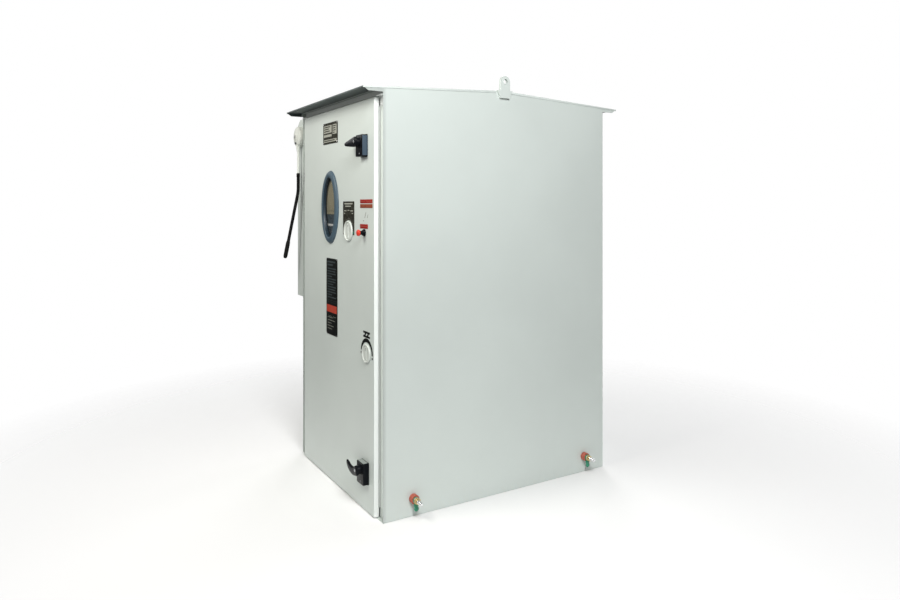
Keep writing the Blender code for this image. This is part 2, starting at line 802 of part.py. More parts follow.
def hinge_pair(place, z, hinge):
    """A fixed leaf with its pin on the frame, and above it the door's leaf that turns on the pin."""
    low = z - HINGE_LENGTH / 2
    high = z + HINGE_LENGTH / 2
    axis = (HINGE_X, HINGE_Y, 0)
    leaf_face = FRAME_Y - GAP
    fixed = add_object(f"{place}_hinge_frame_leaf", cylinder_mesh("z", axis, KNUCKLE_R, low, z), "steel")
    join(
        fixed,
        box_mesh((HINGE_X - 0.0015, HINGE_Y, low), (HINGE_X + 0.0015, leaf_face - 0.001, z)),
        box_mesh((HINGE_X - 0.018, leaf_face - SHEET, low), (HINGE_X + 0.0015, leaf_face, z)),
        cylinder_mesh("z", axis, PIN_R, z - 0.01, high + 0.002),
    )
    leaf_x = -DOOR_W - GAP
    leaf_back = DOOR_FRONT + DOOR_DEPTH - 0.001
    above = z + 0.0005
    moving = add_object(
        f"{place}_hinge_door_leaf", cylinder_mesh("z", axis, KNUCKLE_R, above, high), "steel", hinge
    )
    join(
        moving,
        box_mesh((HINGE_X, HINGE_Y - 0.0015, above), (leaf_x - 0.001, HINGE_Y + 0.0015, high)),
        box_mesh((leaf_x - SHEET, DOOR_FRONT + 0.001, above), (leaf_x, leaf_back, high)),
    )
    cut(moving, cylinder_mesh("z", axis, bore_radius(PIN_R), above - 0.01, high + 0.01))


def ring_mesh(profile, steps=40):
    """Sweeps a closed profile of (offset from the window's sight edge, y) round the window."""
    bm = bmesh.new()
    rings = []
    for i in range(steps):
        angle = 2 * pi * i / steps
        ring = []
        for offset, y in profile:
            x = WINDOW[0] + (WINDOW_SIGHT[0] + offset) * cos(angle)
            z = WINDOW[1] + (WINDOW_SIGHT[1] + offset) * sin(angle)
            ring.append(bm.verts.new((x, y, z)))
        rings.append(ring)
    count = len(profile)
    for i in range(steps):
        near = rings[i]
        far = rings[(i + 1) % steps]
        for j in range(count):
            k = (j + 1) % count
            bm.faces.new((near[j], near[k], far[k], far[j]))
    return bm


def window(hinge):
    """A bezel whose sleeve goes through the door, and a pane against the sleeve's back edge."""
    back = DOOR_FRONT - GAP
    front = DOOR_FRONT - BEZEL_PROUD
    profile = [
        (BEZEL_WIDTH, back),
        (BEZEL_WIDTH - 0.002, front + 0.005),
        (BEZEL_WIDTH - 0.010, front),
        (0.006, front),
        (0.0, front + 0.004),
        (0.0, SLEEVE_END),
        (0.006, SLEEVE_END),
        (0.006, back),
    ]
    smooth(add_object("window_bezel", ring_mesh(profile), "blue_grey_plastic", hinge))
    pane_front = SLEEVE_END + GAP
    half_w = WINDOW_SIGHT[0] + 0.012
    half_h = WINDOW_SIGHT[1] + 0.012
    pane = ellipse_mesh(WINDOW, half_w, half_h, pane_front, pane_front + PANE_THICK)
    add_object("window_pane", pane, "clear", hinge)


def indicator(hinge):
    """The instrument behind the window: a navy housing with a tan display plate on its upper part."""
    plate_front = SLEEVE_END + GAP + PANE_THICK + GAP
    unit_front = plate_front + 0.002 + GAP
    x, z = WINDOW
    plate_low = z - 0.027
    add_object(
        "display_plate",
        box_mesh((x - 0.075, plate_front, plate_low), (x + 0.075, unit_front - GAP, z + 0.120)),
        "tan_panel",
        hinge,
    )
    add_object(
        "indicator_unit",
        box_mesh((x - 0.085, unit_front, z - 0.135), (x + 0.085, unit_front + 0.050, z + 0.135)),
        "navy_plastic",
        hinge,
    )


def door_plates(hinge):
    """The nameplate, the instruction plate and the arched legend plate over the upper dial."""
    back = DOOR_FRONT - GAP

    def plate(name, centre, size, corner, thick, finish):
        lo = (centre[0] - size[0] / 2, centre[1] - size[1] / 2)
        hi = (centre[0] + size[0] / 2, centre[1] + size[1] / 2)
        outline = rounded_rectangle(lo, hi, corner)
        add_object(name, prism_mesh(outline, "y", back - thick, back), finish, hinge)

    plate("nameplate", NAMEPLATE, (0.145, 0.080), 0.004, 0.0015, "black_metal")
    plate("instruction_plate", INSTRUCTION, (0.109, 0.287), 0.004, 0.0010, "black_metal")

    x, z = UPPER_DIAL
    inner = UPPER_DIAL_R + 0.003
    half = LEGEND_W / 2
    outline = [
        (x + half, LEGEND_LOW), (x + half, LEGEND_HIGH), (x - half, LEGEND_HIGH), (x - half, LEGEND_LOW),
    ]
    low_angle = atan2(LEGEND_LOW - z, (inner**2 - (LEGEND_LOW - z) ** 2) ** 0.5)
    outline += list(arc((x, z), inner, pi - low_angle, low_angle, 16))
    add_object("legend_plate", prism_mesh(outline, "y", back - 0.001, back), "black_metal", hinge)


def dial(name, centre, radius, hinge):
    """A round dial with a raised rim and its shaft, which turns in the switch body behind the door."""
    x, z = centre
    front = DOOR_FRONT - GAP - DIAL_THICK
    back = DOOR_FRONT - GAP
    shaft_end = DOOR_BACK + 0.035
    pivot = joint_empty(f"{name}_pivot", (x, back, z))
    profile = [
        (front + 0.003, 0), (front + 0.003, radius - 0.006), (front, radius - 0.004),
        (front, radius - 0.001), (front + 0.002, radius), (back, radius),
        (back, DIAL_SHAFT_R), (shaft_end, DIAL_SHAFT_R), (shaft_end, 0),
    ]
    made = add_object(f"{name}_dial", turned_mesh(profile, "y", (x, 0, z), sides=32), "white_plastic", pivot)
    reach = radius - 0.010
    grip = box_mesh((x - 0.004, front + 0.0005, z - reach), (x + 0.004, front + 0.004, z + reach))
    join(made, grip)
    smooth(made)
    body_start = DOOR_BACK + GAP
    body = add_object(
        f"{name}_switch",
        box_mesh((x - 0.024, body_start, z - 0.024), (x + 0.024, body_start + 0.065, z + 0.024)),
        "grey_plastic",
        hinge,
    )
    bore = bore_radius(DIAL_SHAFT_R, 0.0002)
    cut(body, cylinder_mesh("y", (x, 0, z), bore, body_start - 0.01, shaft_end + 0.002))


def push_button(hinge):
    """A red mushroom head on a stem that slides in a dark collar through the door."""
    x, z = BUTTON
    collar_front = DOOR_FRONT - 0.008
    head_back = DOOR_FRONT - 0.019
    head_front = DOOR_FRONT - 0.028
    stem_end = DOOR_BACK + 0.015
    stem_r = 0.0055
    collar_profile = [
        (collar_front, 0), (collar_front, 0.0085), (collar_front + 0.002, 0.0100),
        (DOOR_FRONT - 0.003, 0.0105), (DOOR_FRONT - 0.0028, 0.0125), (DOOR_FRONT - GAP, 0.0125),
        (DOOR_FRONT - GAP, 0.0108), (DOOR_BACK + 0.030, 0.0108), (DOOR_BACK + 0.030, 0),
    ]
    collar = add_object(
        "push_button_collar", turned_mesh(collar_profile, "y", (x, 0, z)), "black_plastic", hinge
    )
    bore = bore_radius(stem_r, 0.0003)
    cut(collar, cylinder_mesh("y", (x, 0, z), bore, collar_front - 0.01, stem_end + 0.008))
    smooth(collar)
    pivot = joint_empty("push_button_slide", (x, head_back, z))
    head_profile = [
        (head_front, 0), (head_front + 0.0005, 0.007), (head_front + 0.002, 0.0100),
        (head_front + 0.004, 0.0110), (head_back, 0.0105), (head_back, 0.0075),
        (collar_front - 0.007, 0.0070), (collar_front - 0.007, stem_r),
        (stem_end, stem_r), (stem_end, 0),
    ]
    head = add_object("push_button_head", turned_mesh(head_profile, "y", (x, 0, z)), "red_plastic", pivot)
    smooth(head)


def latch(place, middle_z, hinge):
    """A turn latch: a block on the door, a horn-shaped handle on a shaft, and a cam behind the door."""
    x = LATCH_X[place]
    base_w, base_d, base_h = LATCH_BASE
    base_back = DOOR_FRONT - GAP
    base_front = base_back - base_d
    pivot_z = middle_z + LATCH_PIVOT_UP
    axis = (x, 0, pivot_z)
    outline = rounded_rectangle(
        (x - base_w / 2, middle_z - base_h / 2), (x + base_w / 2, middle_z + base_h / 2), 0.004
    )
    base = add_object(
        f"{place}_latch_base", prism_mesh(outline, "y", base_front, base_back), "black_plastic", hinge
    )
    cut(base, cylinder_mesh("y", axis, bore_radius(LATCH_SHAFT_R), base_front - 0.01, base_back + 0.01))

    pivot = joint_empty(f"{place}_latch_pivot", (x, base_front, pivot_z))
    hub_back = base_front - GAP
    hub_front = hub_back - 0.018
    cam_front = RIM_BACK + 0.0035
    cam_back = cam_front + 0.004
    handle = add_object(
        f"{place}_latch_handle",
        turned_mesh(
            [(hub_front, 0), (hub_front, 0.012), (hub_front + 0.002, 0.0145), (hub_back, 0.0155),
             (hub_back, LATCH_SHAFT_R), (cam_back + 0.004, LATCH_SHAFT_R), (cam_back + 0.004, 0)],
            "y", axis,
        ),
        "black_plastic",
        pivot,
    )
    # The horn: seen from the front it tapers from the hub to a round tip.
    sections = HORNS[place]
    reach, low, high = sections[-1]
    tip_r = (high - low) / 2
    tip = (x - reach, pivot_z + (low + high) / 2)
    horn = [(x - along, pivot_z + above) for along, _, above in sections[:-1]]
    horn += list(arc(tip, tip_r, pi / 2, 3 * pi / 2, 8))
    horn += [(x - along, pivot_z + below) for along, below, _ in reversed(sections[:-1])]
    join(handle, prism_mesh(horn, "y", hub_front + 0.001, hub_front + 0.0115))
    smooth(handle)

    cam_z = pivot_z + CAM_REACH
    cam_outline = list(arc((x, pivot_z), 0.013, pi, 2 * pi, 10))
    cam_outline += [(x + 0.011, cam_z), (x - 0.011, cam_z)]
    cam = add_object(f"{place}_latch_cam", prism_mesh(cam_outline, "y", cam_front, cam_back), "steel", pivot)
    cut(cam, cylinder_mesh("y", axis, LATCH_SHAFT_R + GAP, cam_front - 0.01, cam_back + 0.01))


def clear_scene():
    for obj in list(bpy.data.objects):
        bpy.data.objects.remove(obj)


def build():
    clear_scene()
    roof()
    side_panel("left_side_panel", -1)
    side_panel("right_side_panel", 1)
    back_panel()
    floor_pan()
    header_rail()
    sill_rail()
    front_post("left_front_post", -1)
    front_post("right_front_post", 1)
    gland_plate()
    lifting_lug("left_lifting_lug", -1)
    lifting_lug("right_lifting_lug", 1)
    for place, y in EARTH_PLACES.items():
        earth_terminal(place, y)

    mounting_plate()
    mounting_rail("left_mounting_rail", -1)
    mounting_rail("right_mounting_rail", 1)
    din_rail()
    wiring_duct("upper_wiring_duct", 1.180)
    wiring_duct("lower_wiring_duct", 0.250)
    circuit_breaker()
    contactor()
    terminal_block()
    earth_bar()
    heater()

    side_box()
    isolator_switch()
    side_lever()

    hinge = joint_empty("door_hinge", (HINGE_X, HINGE_Y, 0.0))
    door_panel(hinge)
    door_gasket(hinge)
    door_stiffener(hinge)
    for place, z in HINGE_HEIGHTS.items():
        hinge_pair(place, z, hinge)
    window(hinge)
    indicator(hinge)
    door_plates(hinge)
    dial("upper", UPPER_DIAL, UPPER_DIAL_R, hinge)
    dial("lower", LOWER_DIAL, LOWER_DIAL_R, hinge)
    push_button(hinge)
    for place, z in LATCH_HEIGHTS.items():
        latch(place, z, hinge)


build()
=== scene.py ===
"""The looks of an outdoor electrical control cabinet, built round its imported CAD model.

Metres, +Z up, in the CAD's frame: the origin is the centre of the base, the door faces -Y, and the side
box with the lever is on -X. Each piece is made at rest, then rides on a CAD body.
"""

import json
from math import atan2, cos, pi, radians, sin

import bmesh
import bpy
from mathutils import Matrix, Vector


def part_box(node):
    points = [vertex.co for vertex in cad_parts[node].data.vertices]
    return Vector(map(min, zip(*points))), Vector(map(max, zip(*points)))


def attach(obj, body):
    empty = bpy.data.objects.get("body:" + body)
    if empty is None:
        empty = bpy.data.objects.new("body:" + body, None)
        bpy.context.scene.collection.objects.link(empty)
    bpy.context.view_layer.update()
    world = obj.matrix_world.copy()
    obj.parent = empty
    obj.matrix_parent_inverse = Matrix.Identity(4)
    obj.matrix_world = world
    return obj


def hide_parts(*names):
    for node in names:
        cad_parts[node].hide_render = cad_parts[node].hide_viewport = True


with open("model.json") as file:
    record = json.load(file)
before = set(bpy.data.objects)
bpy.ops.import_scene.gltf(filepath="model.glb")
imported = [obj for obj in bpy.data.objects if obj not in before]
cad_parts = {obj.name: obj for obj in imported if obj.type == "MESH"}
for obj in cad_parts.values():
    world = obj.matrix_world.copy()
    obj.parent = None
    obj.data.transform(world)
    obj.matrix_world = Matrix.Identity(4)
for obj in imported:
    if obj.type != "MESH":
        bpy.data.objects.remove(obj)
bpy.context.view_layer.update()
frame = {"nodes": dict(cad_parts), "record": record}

BODY_OF = {
    node: body for body, nodes in frame["record"]["behaviour"]["bodies"].items() for node in nodes
}
SLOT_OF = {part["node"]: part["material_slot"] for part in frame["record"]["subparts"]}
BOX = {node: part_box(node) for node in frame["nodes"]}
PROUD = 0.0002  # how far a printed mark stands off its plate
DOOR_FACE = -0.4902  # where labels and marks on the door's own face lie


def centre_of(node):
    """The middle of a node's box, in x and z."""
    lo, hi = BOX[node]
    return (lo.x + hi.x) / 2, (lo.z + hi.z) / 2


# Materials


class Nodes:
    """A material's node tree, with short calls for the nodes used here."""

    def __init__(self, name, colour, roughness, metallic=0.0):
        self.material = bpy.data.materials.new(name)
        self.material.use_nodes = True
        self.material.diffuse_color = (*colour, 1.0)
        self.tree = self.material.node_tree
        self.shader = self.tree.nodes["Principled BSDF"]
        self.set("Base Color", (*colour, 1.0))
        self.set("Roughness", roughness)
        self.set("Metallic", metallic)
        self.place = self.tree.nodes.new("ShaderNodeTexCoord").outputs["Object"]

    def set(self, socket, value):
        self.shader.inputs[socket].default_value = value

    def link(self, output, target):
        self.tree.links.new(output, target)

    def node(self, kind, **inputs):
        """Adds a node. Each input is a value or an output, and its name has _ in place of a space."""
        node = self.tree.nodes.new("ShaderNode" + kind)
        for name, value in inputs.items():
            socket = node.inputs[name.replace("_", " ")]
            if isinstance(value, bpy.types.NodeSocket):
                self.link(value, socket)
            else:
                socket.default_value = value
        return node

    def stretched(self, scale):
        return self.node("Mapping", Scale=scale, Vector=self.place).outputs["Vector"]

    def noise(self, scale, detail=3.0, roughness=0.5, vector=None):
        where = vector or self.place
        node = self.node("TexNoise", Scale=scale, Detail=detail, Roughness=roughness, Vector=where)
        return node.outputs["Fac"]

    def cells(self, scale):
        return self.node("TexVoronoi", Scale=scale, Vector=self.place).outputs["Color"]

    def spread(self, value, low, high, out_low=0.0, out_high=1.0):
        """Maps low to high onto out_low to out_high, and clamps."""
        node = self.node("MapRange", From_Min=low, From_Max=high, To_Min=out_low, To_Max=out_high,
                         Value=value)
        return node.outputs["Result"]

    def coordinate(self, axis):
        return self.node("SeparateXYZ", Vector=self.place).outputs[axis]

    def times(self, a, b):
        node = self.node("Math")
        node.operation = "MULTIPLY"
        self.link(a, node.inputs[0])
        self.link(b, node.inputs[1])
        return node.outputs["Value"]

    def mix(self, factor, a, b):
        """Mixes two colours. Each is a colour or an output."""
        node = self.node("Mix")
        node.data_type = "RGBA"
        self.link(factor, node.inputs["Factor"])
        for socket, value in (("A", a), ("B", b)):
            slot = [s for s in node.inputs if s.name == socket and s.type == "RGBA"][0]
            if isinstance(value, tuple):
                slot.default_value = (*value, 1.0)
            else:
                self.link(value, slot)
        return [s for s in node.outputs if s.type == "RGBA"][0]

    def colour(self, output):
        self.link(output, self.shader.inputs["Base Color"])

    def rough(self, output):
        self.link(output, self.shader.inputs["Roughness"])

    def bump(self, output, strength, distance):
        node = self.node("Bump", Strength=strength, Distance=distance, Height=output)
        self.link(node.outputs["Normal"], self.shader.inputs["Normal"])


def shade(colour, factor):
    return tuple(min(1.0, channel * factor) for channel in colour)


def powder_coat(name, colour, dust=0.05, fold_shade=0.0):
    """Semi-gloss powder coat: fine orange peel, faint clouding and a little dust near the ground.

    fold_shade is how much painted shade darkens the cabinet's front edges.
    """
    m = Nodes(name, colour, 0.42)
    clouds = m.spread(m.noise(2.2, 4.0), 0.35, 0.65)
    speckle = m.spread(m.noise(900, 1.0), 0.3, 0.7)
    base = m.mix(clouds, shade(colour, 0.965), shade(colour, 1.02))
    base = m.mix(m.spread(speckle, 0.0, 1.0, 0.0, 0.12), base, shade(colour, 0.86))
    low = m.spread(m.coordinate("Z"), 0.1, 0.0)
    splash = m.times(low, m.spread(m.noise(38, 6.0, 0.62), 0.42, 0.72, 0.0, dust))
    finish = m.mix(splash, base, (0.34, 0.31, 0.26))
    # Painted shade: the paint darkens along the front edge, where the side panel's fold lies in shade.
    if fold_shade:
        fold_shade_mask = m.spread(m.coordinate("Y"), -0.479, -0.467, fold_shade, 0.0)
        finish = m.mix(fold_shade_mask, finish, shade(colour, 0.5))
    m.colour(finish)
    m.rough(m.spread(m.noise(5, 5.0), 0.3, 0.7, 0.36, 0.48))
    m.bump(m.noise(420, 2.0), 0.1, 0.0004)
    return m.material


def galvanised(name, colour=(0.52, 0.53, 0.53)):
    """Zinc spangle: flat crystals of slightly different grey."""
    m = Nodes(name, colour, 0.42, 0.85)
    crystal = m.spread(m.cells(110), 0.0, 1.0)
    m.colour(m.mix(crystal, shade(colour, 0.9), shade(colour, 1.1)))
    m.rough(m.spread(m.cells(110), 0.0, 1.0, 0.36, 0.48))
    m.bump(m.noise(260, 3.0), 0.08, 0.0003)
    return m.material


def brushed(name, colour, roughness=0.28, scale=(30, 30, 900)):
    """Machined or brushed metal: streaks along one axis."""
    m = Nodes(name, colour, roughness, 1.0)
    streaks = m.noise(1.0, 4.0, 0.6, m.stretched(scale))
    m.colour(m.mix(m.spread(streaks, 0.3, 0.7), shade(colour, 0.82), shade(colour, 1.12)))
    m.rough(m.spread(streaks, 0.3, 0.7, roughness * 0.8, roughness * 1.4))
    m.bump(streaks, 0.12, 0.0002)
    return m.material


def aged(name, colour, dark, roughness=0.38, metallic=0.9):
    """Copper, brass or primer, with darker patches."""
    m = Nodes(name, colour, roughness, metallic)
    patches = m.spread(m.noise(120, 6.0, 0.65), 0.42, 0.66)
    m.colour(m.mix(patches, colour, dark))
    m.rough(m.spread(patches, 0.0, 1.0, roughness * 0.8, roughness * 1.5))
    m.bump(m.noise(500, 3.0), 0.12, 0.0002)
    return m.material


def moulded(name, colour, roughness=0.34, grain=700, dust=0.06, strength=0.1, gloss=0.5):
    """Moulded plastic: fine spark-eroded grain and a little dust."""
    m = Nodes(name, colour, roughness)
    m.set("Specular IOR Level", gloss)
    film = m.spread(m.noise(14, 5.0, 0.6), 0.45, 0.75, 0.0, dust)
    m.colour(m.mix(film, colour, (0.42, 0.41, 0.38)))
    m.rough(m.spread(m.noise(22, 4.0), 0.3, 0.7, roughness * 0.85, roughness * 1.25))
    m.bump(m.noise(grain, 2.0), strength, 0.0002)
    return m.material


def foam(name, colour):
    """Closed-cell foam rubber: small pits and a matt skin."""
    m = Nodes(name, colour, 0.85)
    m.colour(m.mix(m.spread(m.noise(60, 5.0), 0.4, 0.7, 0.0, 0.5), colour, (0.06, 0.06, 0.06)))
    m.bump(m.cells(900), 0.35, 0.0004)
    return m.material


def printed(name, colour, fade):
    """Ink or anodised plate: slightly mottled, worn thin in places."""
    m = Nodes(name, colour, 0.5)
    m.set("Specular IOR Level", 0.06)
    worn = m.spread(m.noise(75, 6.0, 0.7), 0.4, 0.75, 0.0, fade)
    m.colour(m.mix(worn, colour, (0.36, 0.36, 0.31)))
    m.rough(m.spread(m.noise(30, 3.0), 0.3, 0.7, 0.425, 0.6))
    m.bump(m.noise(1200, 2.0), 0.05, 0.0001)
    return m.material


def clear_pane(name):
    """Clear polycarbonate with a faint haze of fine scratches."""
    m = Nodes(name, (0.3, 0.34, 0.36), 0.04)
    m.set("Alpha", 0.06)
    m.rough(m.spread(m.noise(1.0, 6.0, 0.7, m.stretched((40, 40, 700))), 0.35, 0.8, 0.02, 0.1))
    return m.material


def studio_floor(name):
    """Pale floor that fades out some way from the object, into the white of the room."""
    m = Nodes(name, (0.9, 0.9, 0.9), 0.8)
    m.colour(m.mix(m.noise(3.0, 3.0), (0.89, 0.89, 0.89), (0.91, 0.91, 0.91)))
    distance = m.node("VectorMath")
    distance.operation = "LENGTH"
    m.link(m.place, distance.inputs[0])
    m.link(m.spread(distance.outputs["Value"], 0.7, 2.2, 1.0, 0.0), m.shader.inputs["Alpha"])
    return m.material


PAINT_COLOUR = (0.6, 0.655, 0.625)
paint = powder_coat("paint_grey_green", PAINT_COLOUR)
# A lighter paint, as painted highlight on the door's right-hand return and painted light on the shaded
# header.
painted_highlight_paint = powder_coat("paint_painted_highlight", (0.86, 0.89, 0.87), dust=0.0)
# A lighter copy of the paint, as painted light on the front posts in the shaded gap beside the door.
frame_painted_light = powder_coat("paint_frame_painted_light", shade(PAINT_COLOUR, 1.15), dust=0.0)
# A darker copy of the paint, as painted shade on the inside surfaces.
inner_painted_shade = powder_coat("paint_inside_painted_shade", shade(PAINT_COLOUR, 0.94), dust=0.0)
# The side panels' paint, with painted shade along the front fold.
side_paint = powder_coat("paint_side_panels", PAINT_COLOUR, fold_shade=0.5)
# A dark copy of the paint, as painted shade under the roof.
underside_painted_shade = powder_coat("paint_roof_underside_painted_shade", (0.05, 0.068, 0.07), dust=0.0)
dial_paint = moulded("dial_pale_grey", (0.6, 0.64, 0.6), 0.36, 500, 0.02)
zinc = galvanised("galvanised_steel")
bright_zinc = galvanised("bright_zinc_plate", (0.62, 0.63, 0.62))
steel = brushed("stainless_steel", (0.6, 0.61, 0.62))
bright_steel = brushed("bright_turned_steel", (0.8, 0.81, 0.82), 0.2, (600, 40, 40))
dark_steel = brushed("dull_steel", (0.24, 0.24, 0.25), 0.4)
boss_paint = aged("red_oxide_boss", (0.52, 0.13, 0.085), (0.36, 0.08, 0.05), 0.4, 0.1)
copper = aged("copper_bar", (0.72, 0.32, 0.19), (0.33, 0.15, 0.09))
brass = aged("yellow_brass", (0.78, 0.62, 0.28), (0.45, 0.33, 0.14), 0.3)
black = moulded("black_moulding", (0.004, 0.005, 0.007), 0.22, 800, 0.008, 0.05, 0.1)
grip_black = moulded("black_grip", (0.003, 0.003, 0.003), 0.55, 500, 0.01, 0.2, 0.1)
slate = moulded("slate_bezel", (0.052, 0.088, 0.118), 0.42, 600, 0.03, 0.1, 0.35)
navy = moulded("navy_housing", (0.014, 0.028, 0.04), 0.35, 600, 0.01, 0.1, 0.3)
# A blue-grey copy of the black moulding, as painted reflection on the top latch's right-hand face.
side_painted_reflection = moulded("black_moulding_painted_side_reflection", (0.045, 0.07, 0.1), 0.3, 800, 0.01, 0.06, 0.3)
# A pale copy of the black moulding, as painted highlight on the bottom latch's top face.
top_painted_highlight = moulded("black_moulding_painted_top_highlight", (0.26, 0.29, 0.27), 0.6, 300, 0.02, 0.0, 0.2)
navy_lens = moulded("dark_lens", (0.004, 0.012, 0.02), 0.12, 200, 0.01, 0.02)
tan = printed("olive_tan_plate", (0.215, 0.19, 0.118), 0.12)
pale_print = printed("pale_print", (0.36, 0.37, 0.32), 0.25)
faint_print = printed("faint_print", (0.038, 0.05, 0.054), 0.05)
light_plastic = moulded("light_grey_plastic", (0.5, 0.51, 0.5), 0.45, 600, 0.05)
dark_plastic = moulded("dark_grey_plastic", (0.09, 0.095, 0.1), 0.42, 600, 0.04)
white_enamel = powder_coat("white_enamel_hub", (0.72, 0.75, 0.7), dust=0.0)
red = moulded("red_button", (0.62, 0.035, 0.015), 0.24, 700, 0.02)
green = moulded("green_clamp", (0.018, 0.235, 0.13), 0.42, 500, 0.04)
rubber = foam("foam_rubber", (0.022, 0.022, 0.023))
# Grey rubber for the lip beside the door, its grey set as painted shade for the gap.
lip_rubber_painted_shade = moulded("grey_lip_rubber_painted_shade", (0.5, 0.53, 0.51), 0.6, 500, 0.02)
black_print = printed("black_print", (0.004, 0.005, 0.005), 0.02)
olive_print = printed("olive_black_print", (0.016, 0.016, 0.011), 0.14)
red_print = printed("red_print", (0.27, 0.013, 0.012), 0.05)
rust_print = printed("rust_print", (0.215, 0.048, 0.022), 0.08)
band_print = printed("red_band_print", (0.4, 0.05, 0.03), 0.05)
red_faint_print = printed("red_faint_print", (0.3, 0.09, 0.055), 0.1)
grey_print = printed("grey_print", (0.3, 0.32, 0.3), 0.15)
wire_inks = {
    "brown": moulded("wire_brown", (0.1, 0.035, 0.015), 0.4, 900, 0.02),
    "black": moulded("wire_black", (0.01, 0.01, 0.01), 0.4, 900, 0.02),
    "grey": moulded("wire_grey", (0.2, 0.2, 0.2), 0.4, 900, 0.02),
    "blue": moulded("wire_blue", (0.02, 0.07, 0.3), 0.4, 900, 0.02),
    "earth": moulded("wire_earth", (0.25, 0.42, 0.03), 0.4, 900, 0.02),
}
pane_clear = clear_pane("clear_pane")
floor_grey = studio_floor("pale_floor")

# The record's material slot that each finish belongs to, unless a piece says otherwise.
SLOT_FOR = {
    finish.name: slot
    for slot, finishes in {
        "paint": (paint, inner_painted_shade, underside_painted_shade),
        "steel": (steel, bright_steel, dark_steel, bright_zinc),
        "copper": (boss_paint, brass),
        "black_plastic": (black, grip_black, dark_plastic),
        "blue_grey_plastic": (slate,),
        "navy_plastic": (navy, navy_lens),
        "grey_plastic": (light_plastic, grey_print),
        "white_plastic": (dial_paint, white_enamel),
        "red_plastic": (red, red_print, rust_print),
        "green_plastic": (green,),
        "black_metal": (olive_print, black_print, faint_print, band_print, red_faint_print, pale_print),
        "rubber": (rubber, lip_rubber_painted_shade),
        "clear": (pane_clear,),
        "tan_panel": (tan,),
    }.items()
    for finish in finishes
}


# Shapes


def round_edges(bm, edges, width, segments):
    bmesh.ops.bevel(
        bm, geom=edges, offset=width, offset_type="OFFSET", segments=segments,
        profile=0.5, affect="EDGES", clamp_overlap=True,
    )


def box_mesh(lo, hi, round_by=0.0, segments=2):
    """A block with rounded edges."""
    bm = bmesh.new()
    bmesh.ops.create_cube(bm, size=1.0)
    bmesh.ops.scale(bm, vec=Vector(hi) - Vector(lo), verts=bm.verts)
    bmesh.ops.translate(bm, vec=(Vector(hi) + Vector(lo)) / 2, verts=bm.verts)
    if round_by > 0:
        round_edges(bm, bm.edges[:], round_by, segments)
    return bm


AXES = {"x": (1, 2, 0), "y": (0, 2, 1), "z": (0, 1, 2)}


def prism_mesh(outline, axis, start, end, round_by=0.0, segments=2):
    """Extrudes an outline of the other two coordinates along an axis, and rounds both rims."""
    first, second, along = AXES[axis]
    bm = bmesh.new()
    rings = []
    for level in (start, end):
        ring = []
        for a, b in outline:
            place = [0.0, 0.0, 0.0]
            place[first], place[second], place[along] = a, b, level
            ring.append(bm.verts.new(place))
        rings.append(ring)
    caps = [bm.faces.new(rings[0]), bm.faces.new(rings[1])]
    for i in range(len(outline)):
        j = (i + 1) % len(outline)
        bm.faces.new((rings[0][i], rings[0][j], rings[1][j], rings[1][i]))
    bmesh.ops.recalc_face_normals(bm, faces=bm.faces)
    if round_by > 0:
        rims = {edge for cap in caps for edge in cap.edges}
        round_edges(bm, list(rims), round_by, segments)
    return bm


def lathe_mesh(profile, axis, centre, steps=72):
    """Turns (distance along the axis, radius) about an axis. A radius of 0 closes an end."""
    first, second, along = AXES[axis]
    bm = bmesh.new()
    rings = []
    for level, radius in profile:
        ring = []
        for i in range(steps if radius > 0 else 1):
            angle = 2 * pi * i / steps
            place = [0.0, 0.0, 0.0]
            place[first] = centre[first] + radius * cos(angle)
            place[second] = centre[second] + radius * sin(angle)
            place[along] = centre[along] + level
            ring.append(bm.verts.new(place))
        rings.append(ring)
    for low, high in zip(rings, rings[1:]):
        for i in range(steps):
            j = (i + 1) % steps
            corners = [low[i % len(low)], low[j % len(low)], high[j % len(high)], high[i % len(high)]]
            unique = list(dict.fromkeys(corners))
            if len(unique) > 2:
                bm.faces.new(unique)
    return bm


def ring_mesh(profile, centre, half_w, half_h):
    """Sweeps a closed profile of (offset outwards, y) round an upright oval."""
    steps = 128
    bm = bmesh.new()
    rings = []
    for i in range(steps):
        angle = 2 * pi * i / steps
        ring = []
        for offset, y in profile:
            x = centre.x + (half_w + offset) * cos(angle)
            z = centre.z + (half_h + offset) * sin(angle)
            ring.append(bm.verts.new((x, y, z)))
        rings.append(ring)
    for i in range(steps):
        near, far = rings[i], rings[(i + 1) % steps]
        for j in range(len(profile)):
            k = (j + 1) % len(profile)
            bm.faces.new((near[j], near[k], far[k], far[j]))
    return bm


def skin(bm, rings):
    """Faces between each ring of corners and the next, and over both ends."""
    for near, far in zip(rings, rings[1:]):
        for k in range(len(near)):
            j = (k + 1) % len(near)
            bm.faces.new((near[k], near[j], far[j], far[k]))
    bm.faces.new(rings[0])
    bm.faces.new(rings[-1])
    return bm


def tube_mesh(points, radius, sides=12):
    """A round bar or wire through points. radius is one value, or one for each point."""
    points = [Vector(p) for p in points]
    radii = radius if isinstance(radius, (list, tuple)) else [radius] * len(points)
    bm = bmesh.new()
    rings = []
    normal = None
    for i, point in enumerate(points):
        along = (points[min(i + 1, len(points) - 1)] - points[max(i - 1, 0)]).normalized()
        if normal is None:
            normal = along.orthogonal().normalized()
        normal = (normal - along * normal.dot(along)).normalized()
        other = along.cross(normal)
        ring = []
        for k in range(sides):
            angle = 2 * pi * k / sides
            ring.append(bm.verts.new(point + (normal * cos(angle) + other * sin(angle)) * radii[i]))
        rings.append(ring)
    return skin(bm, rings)


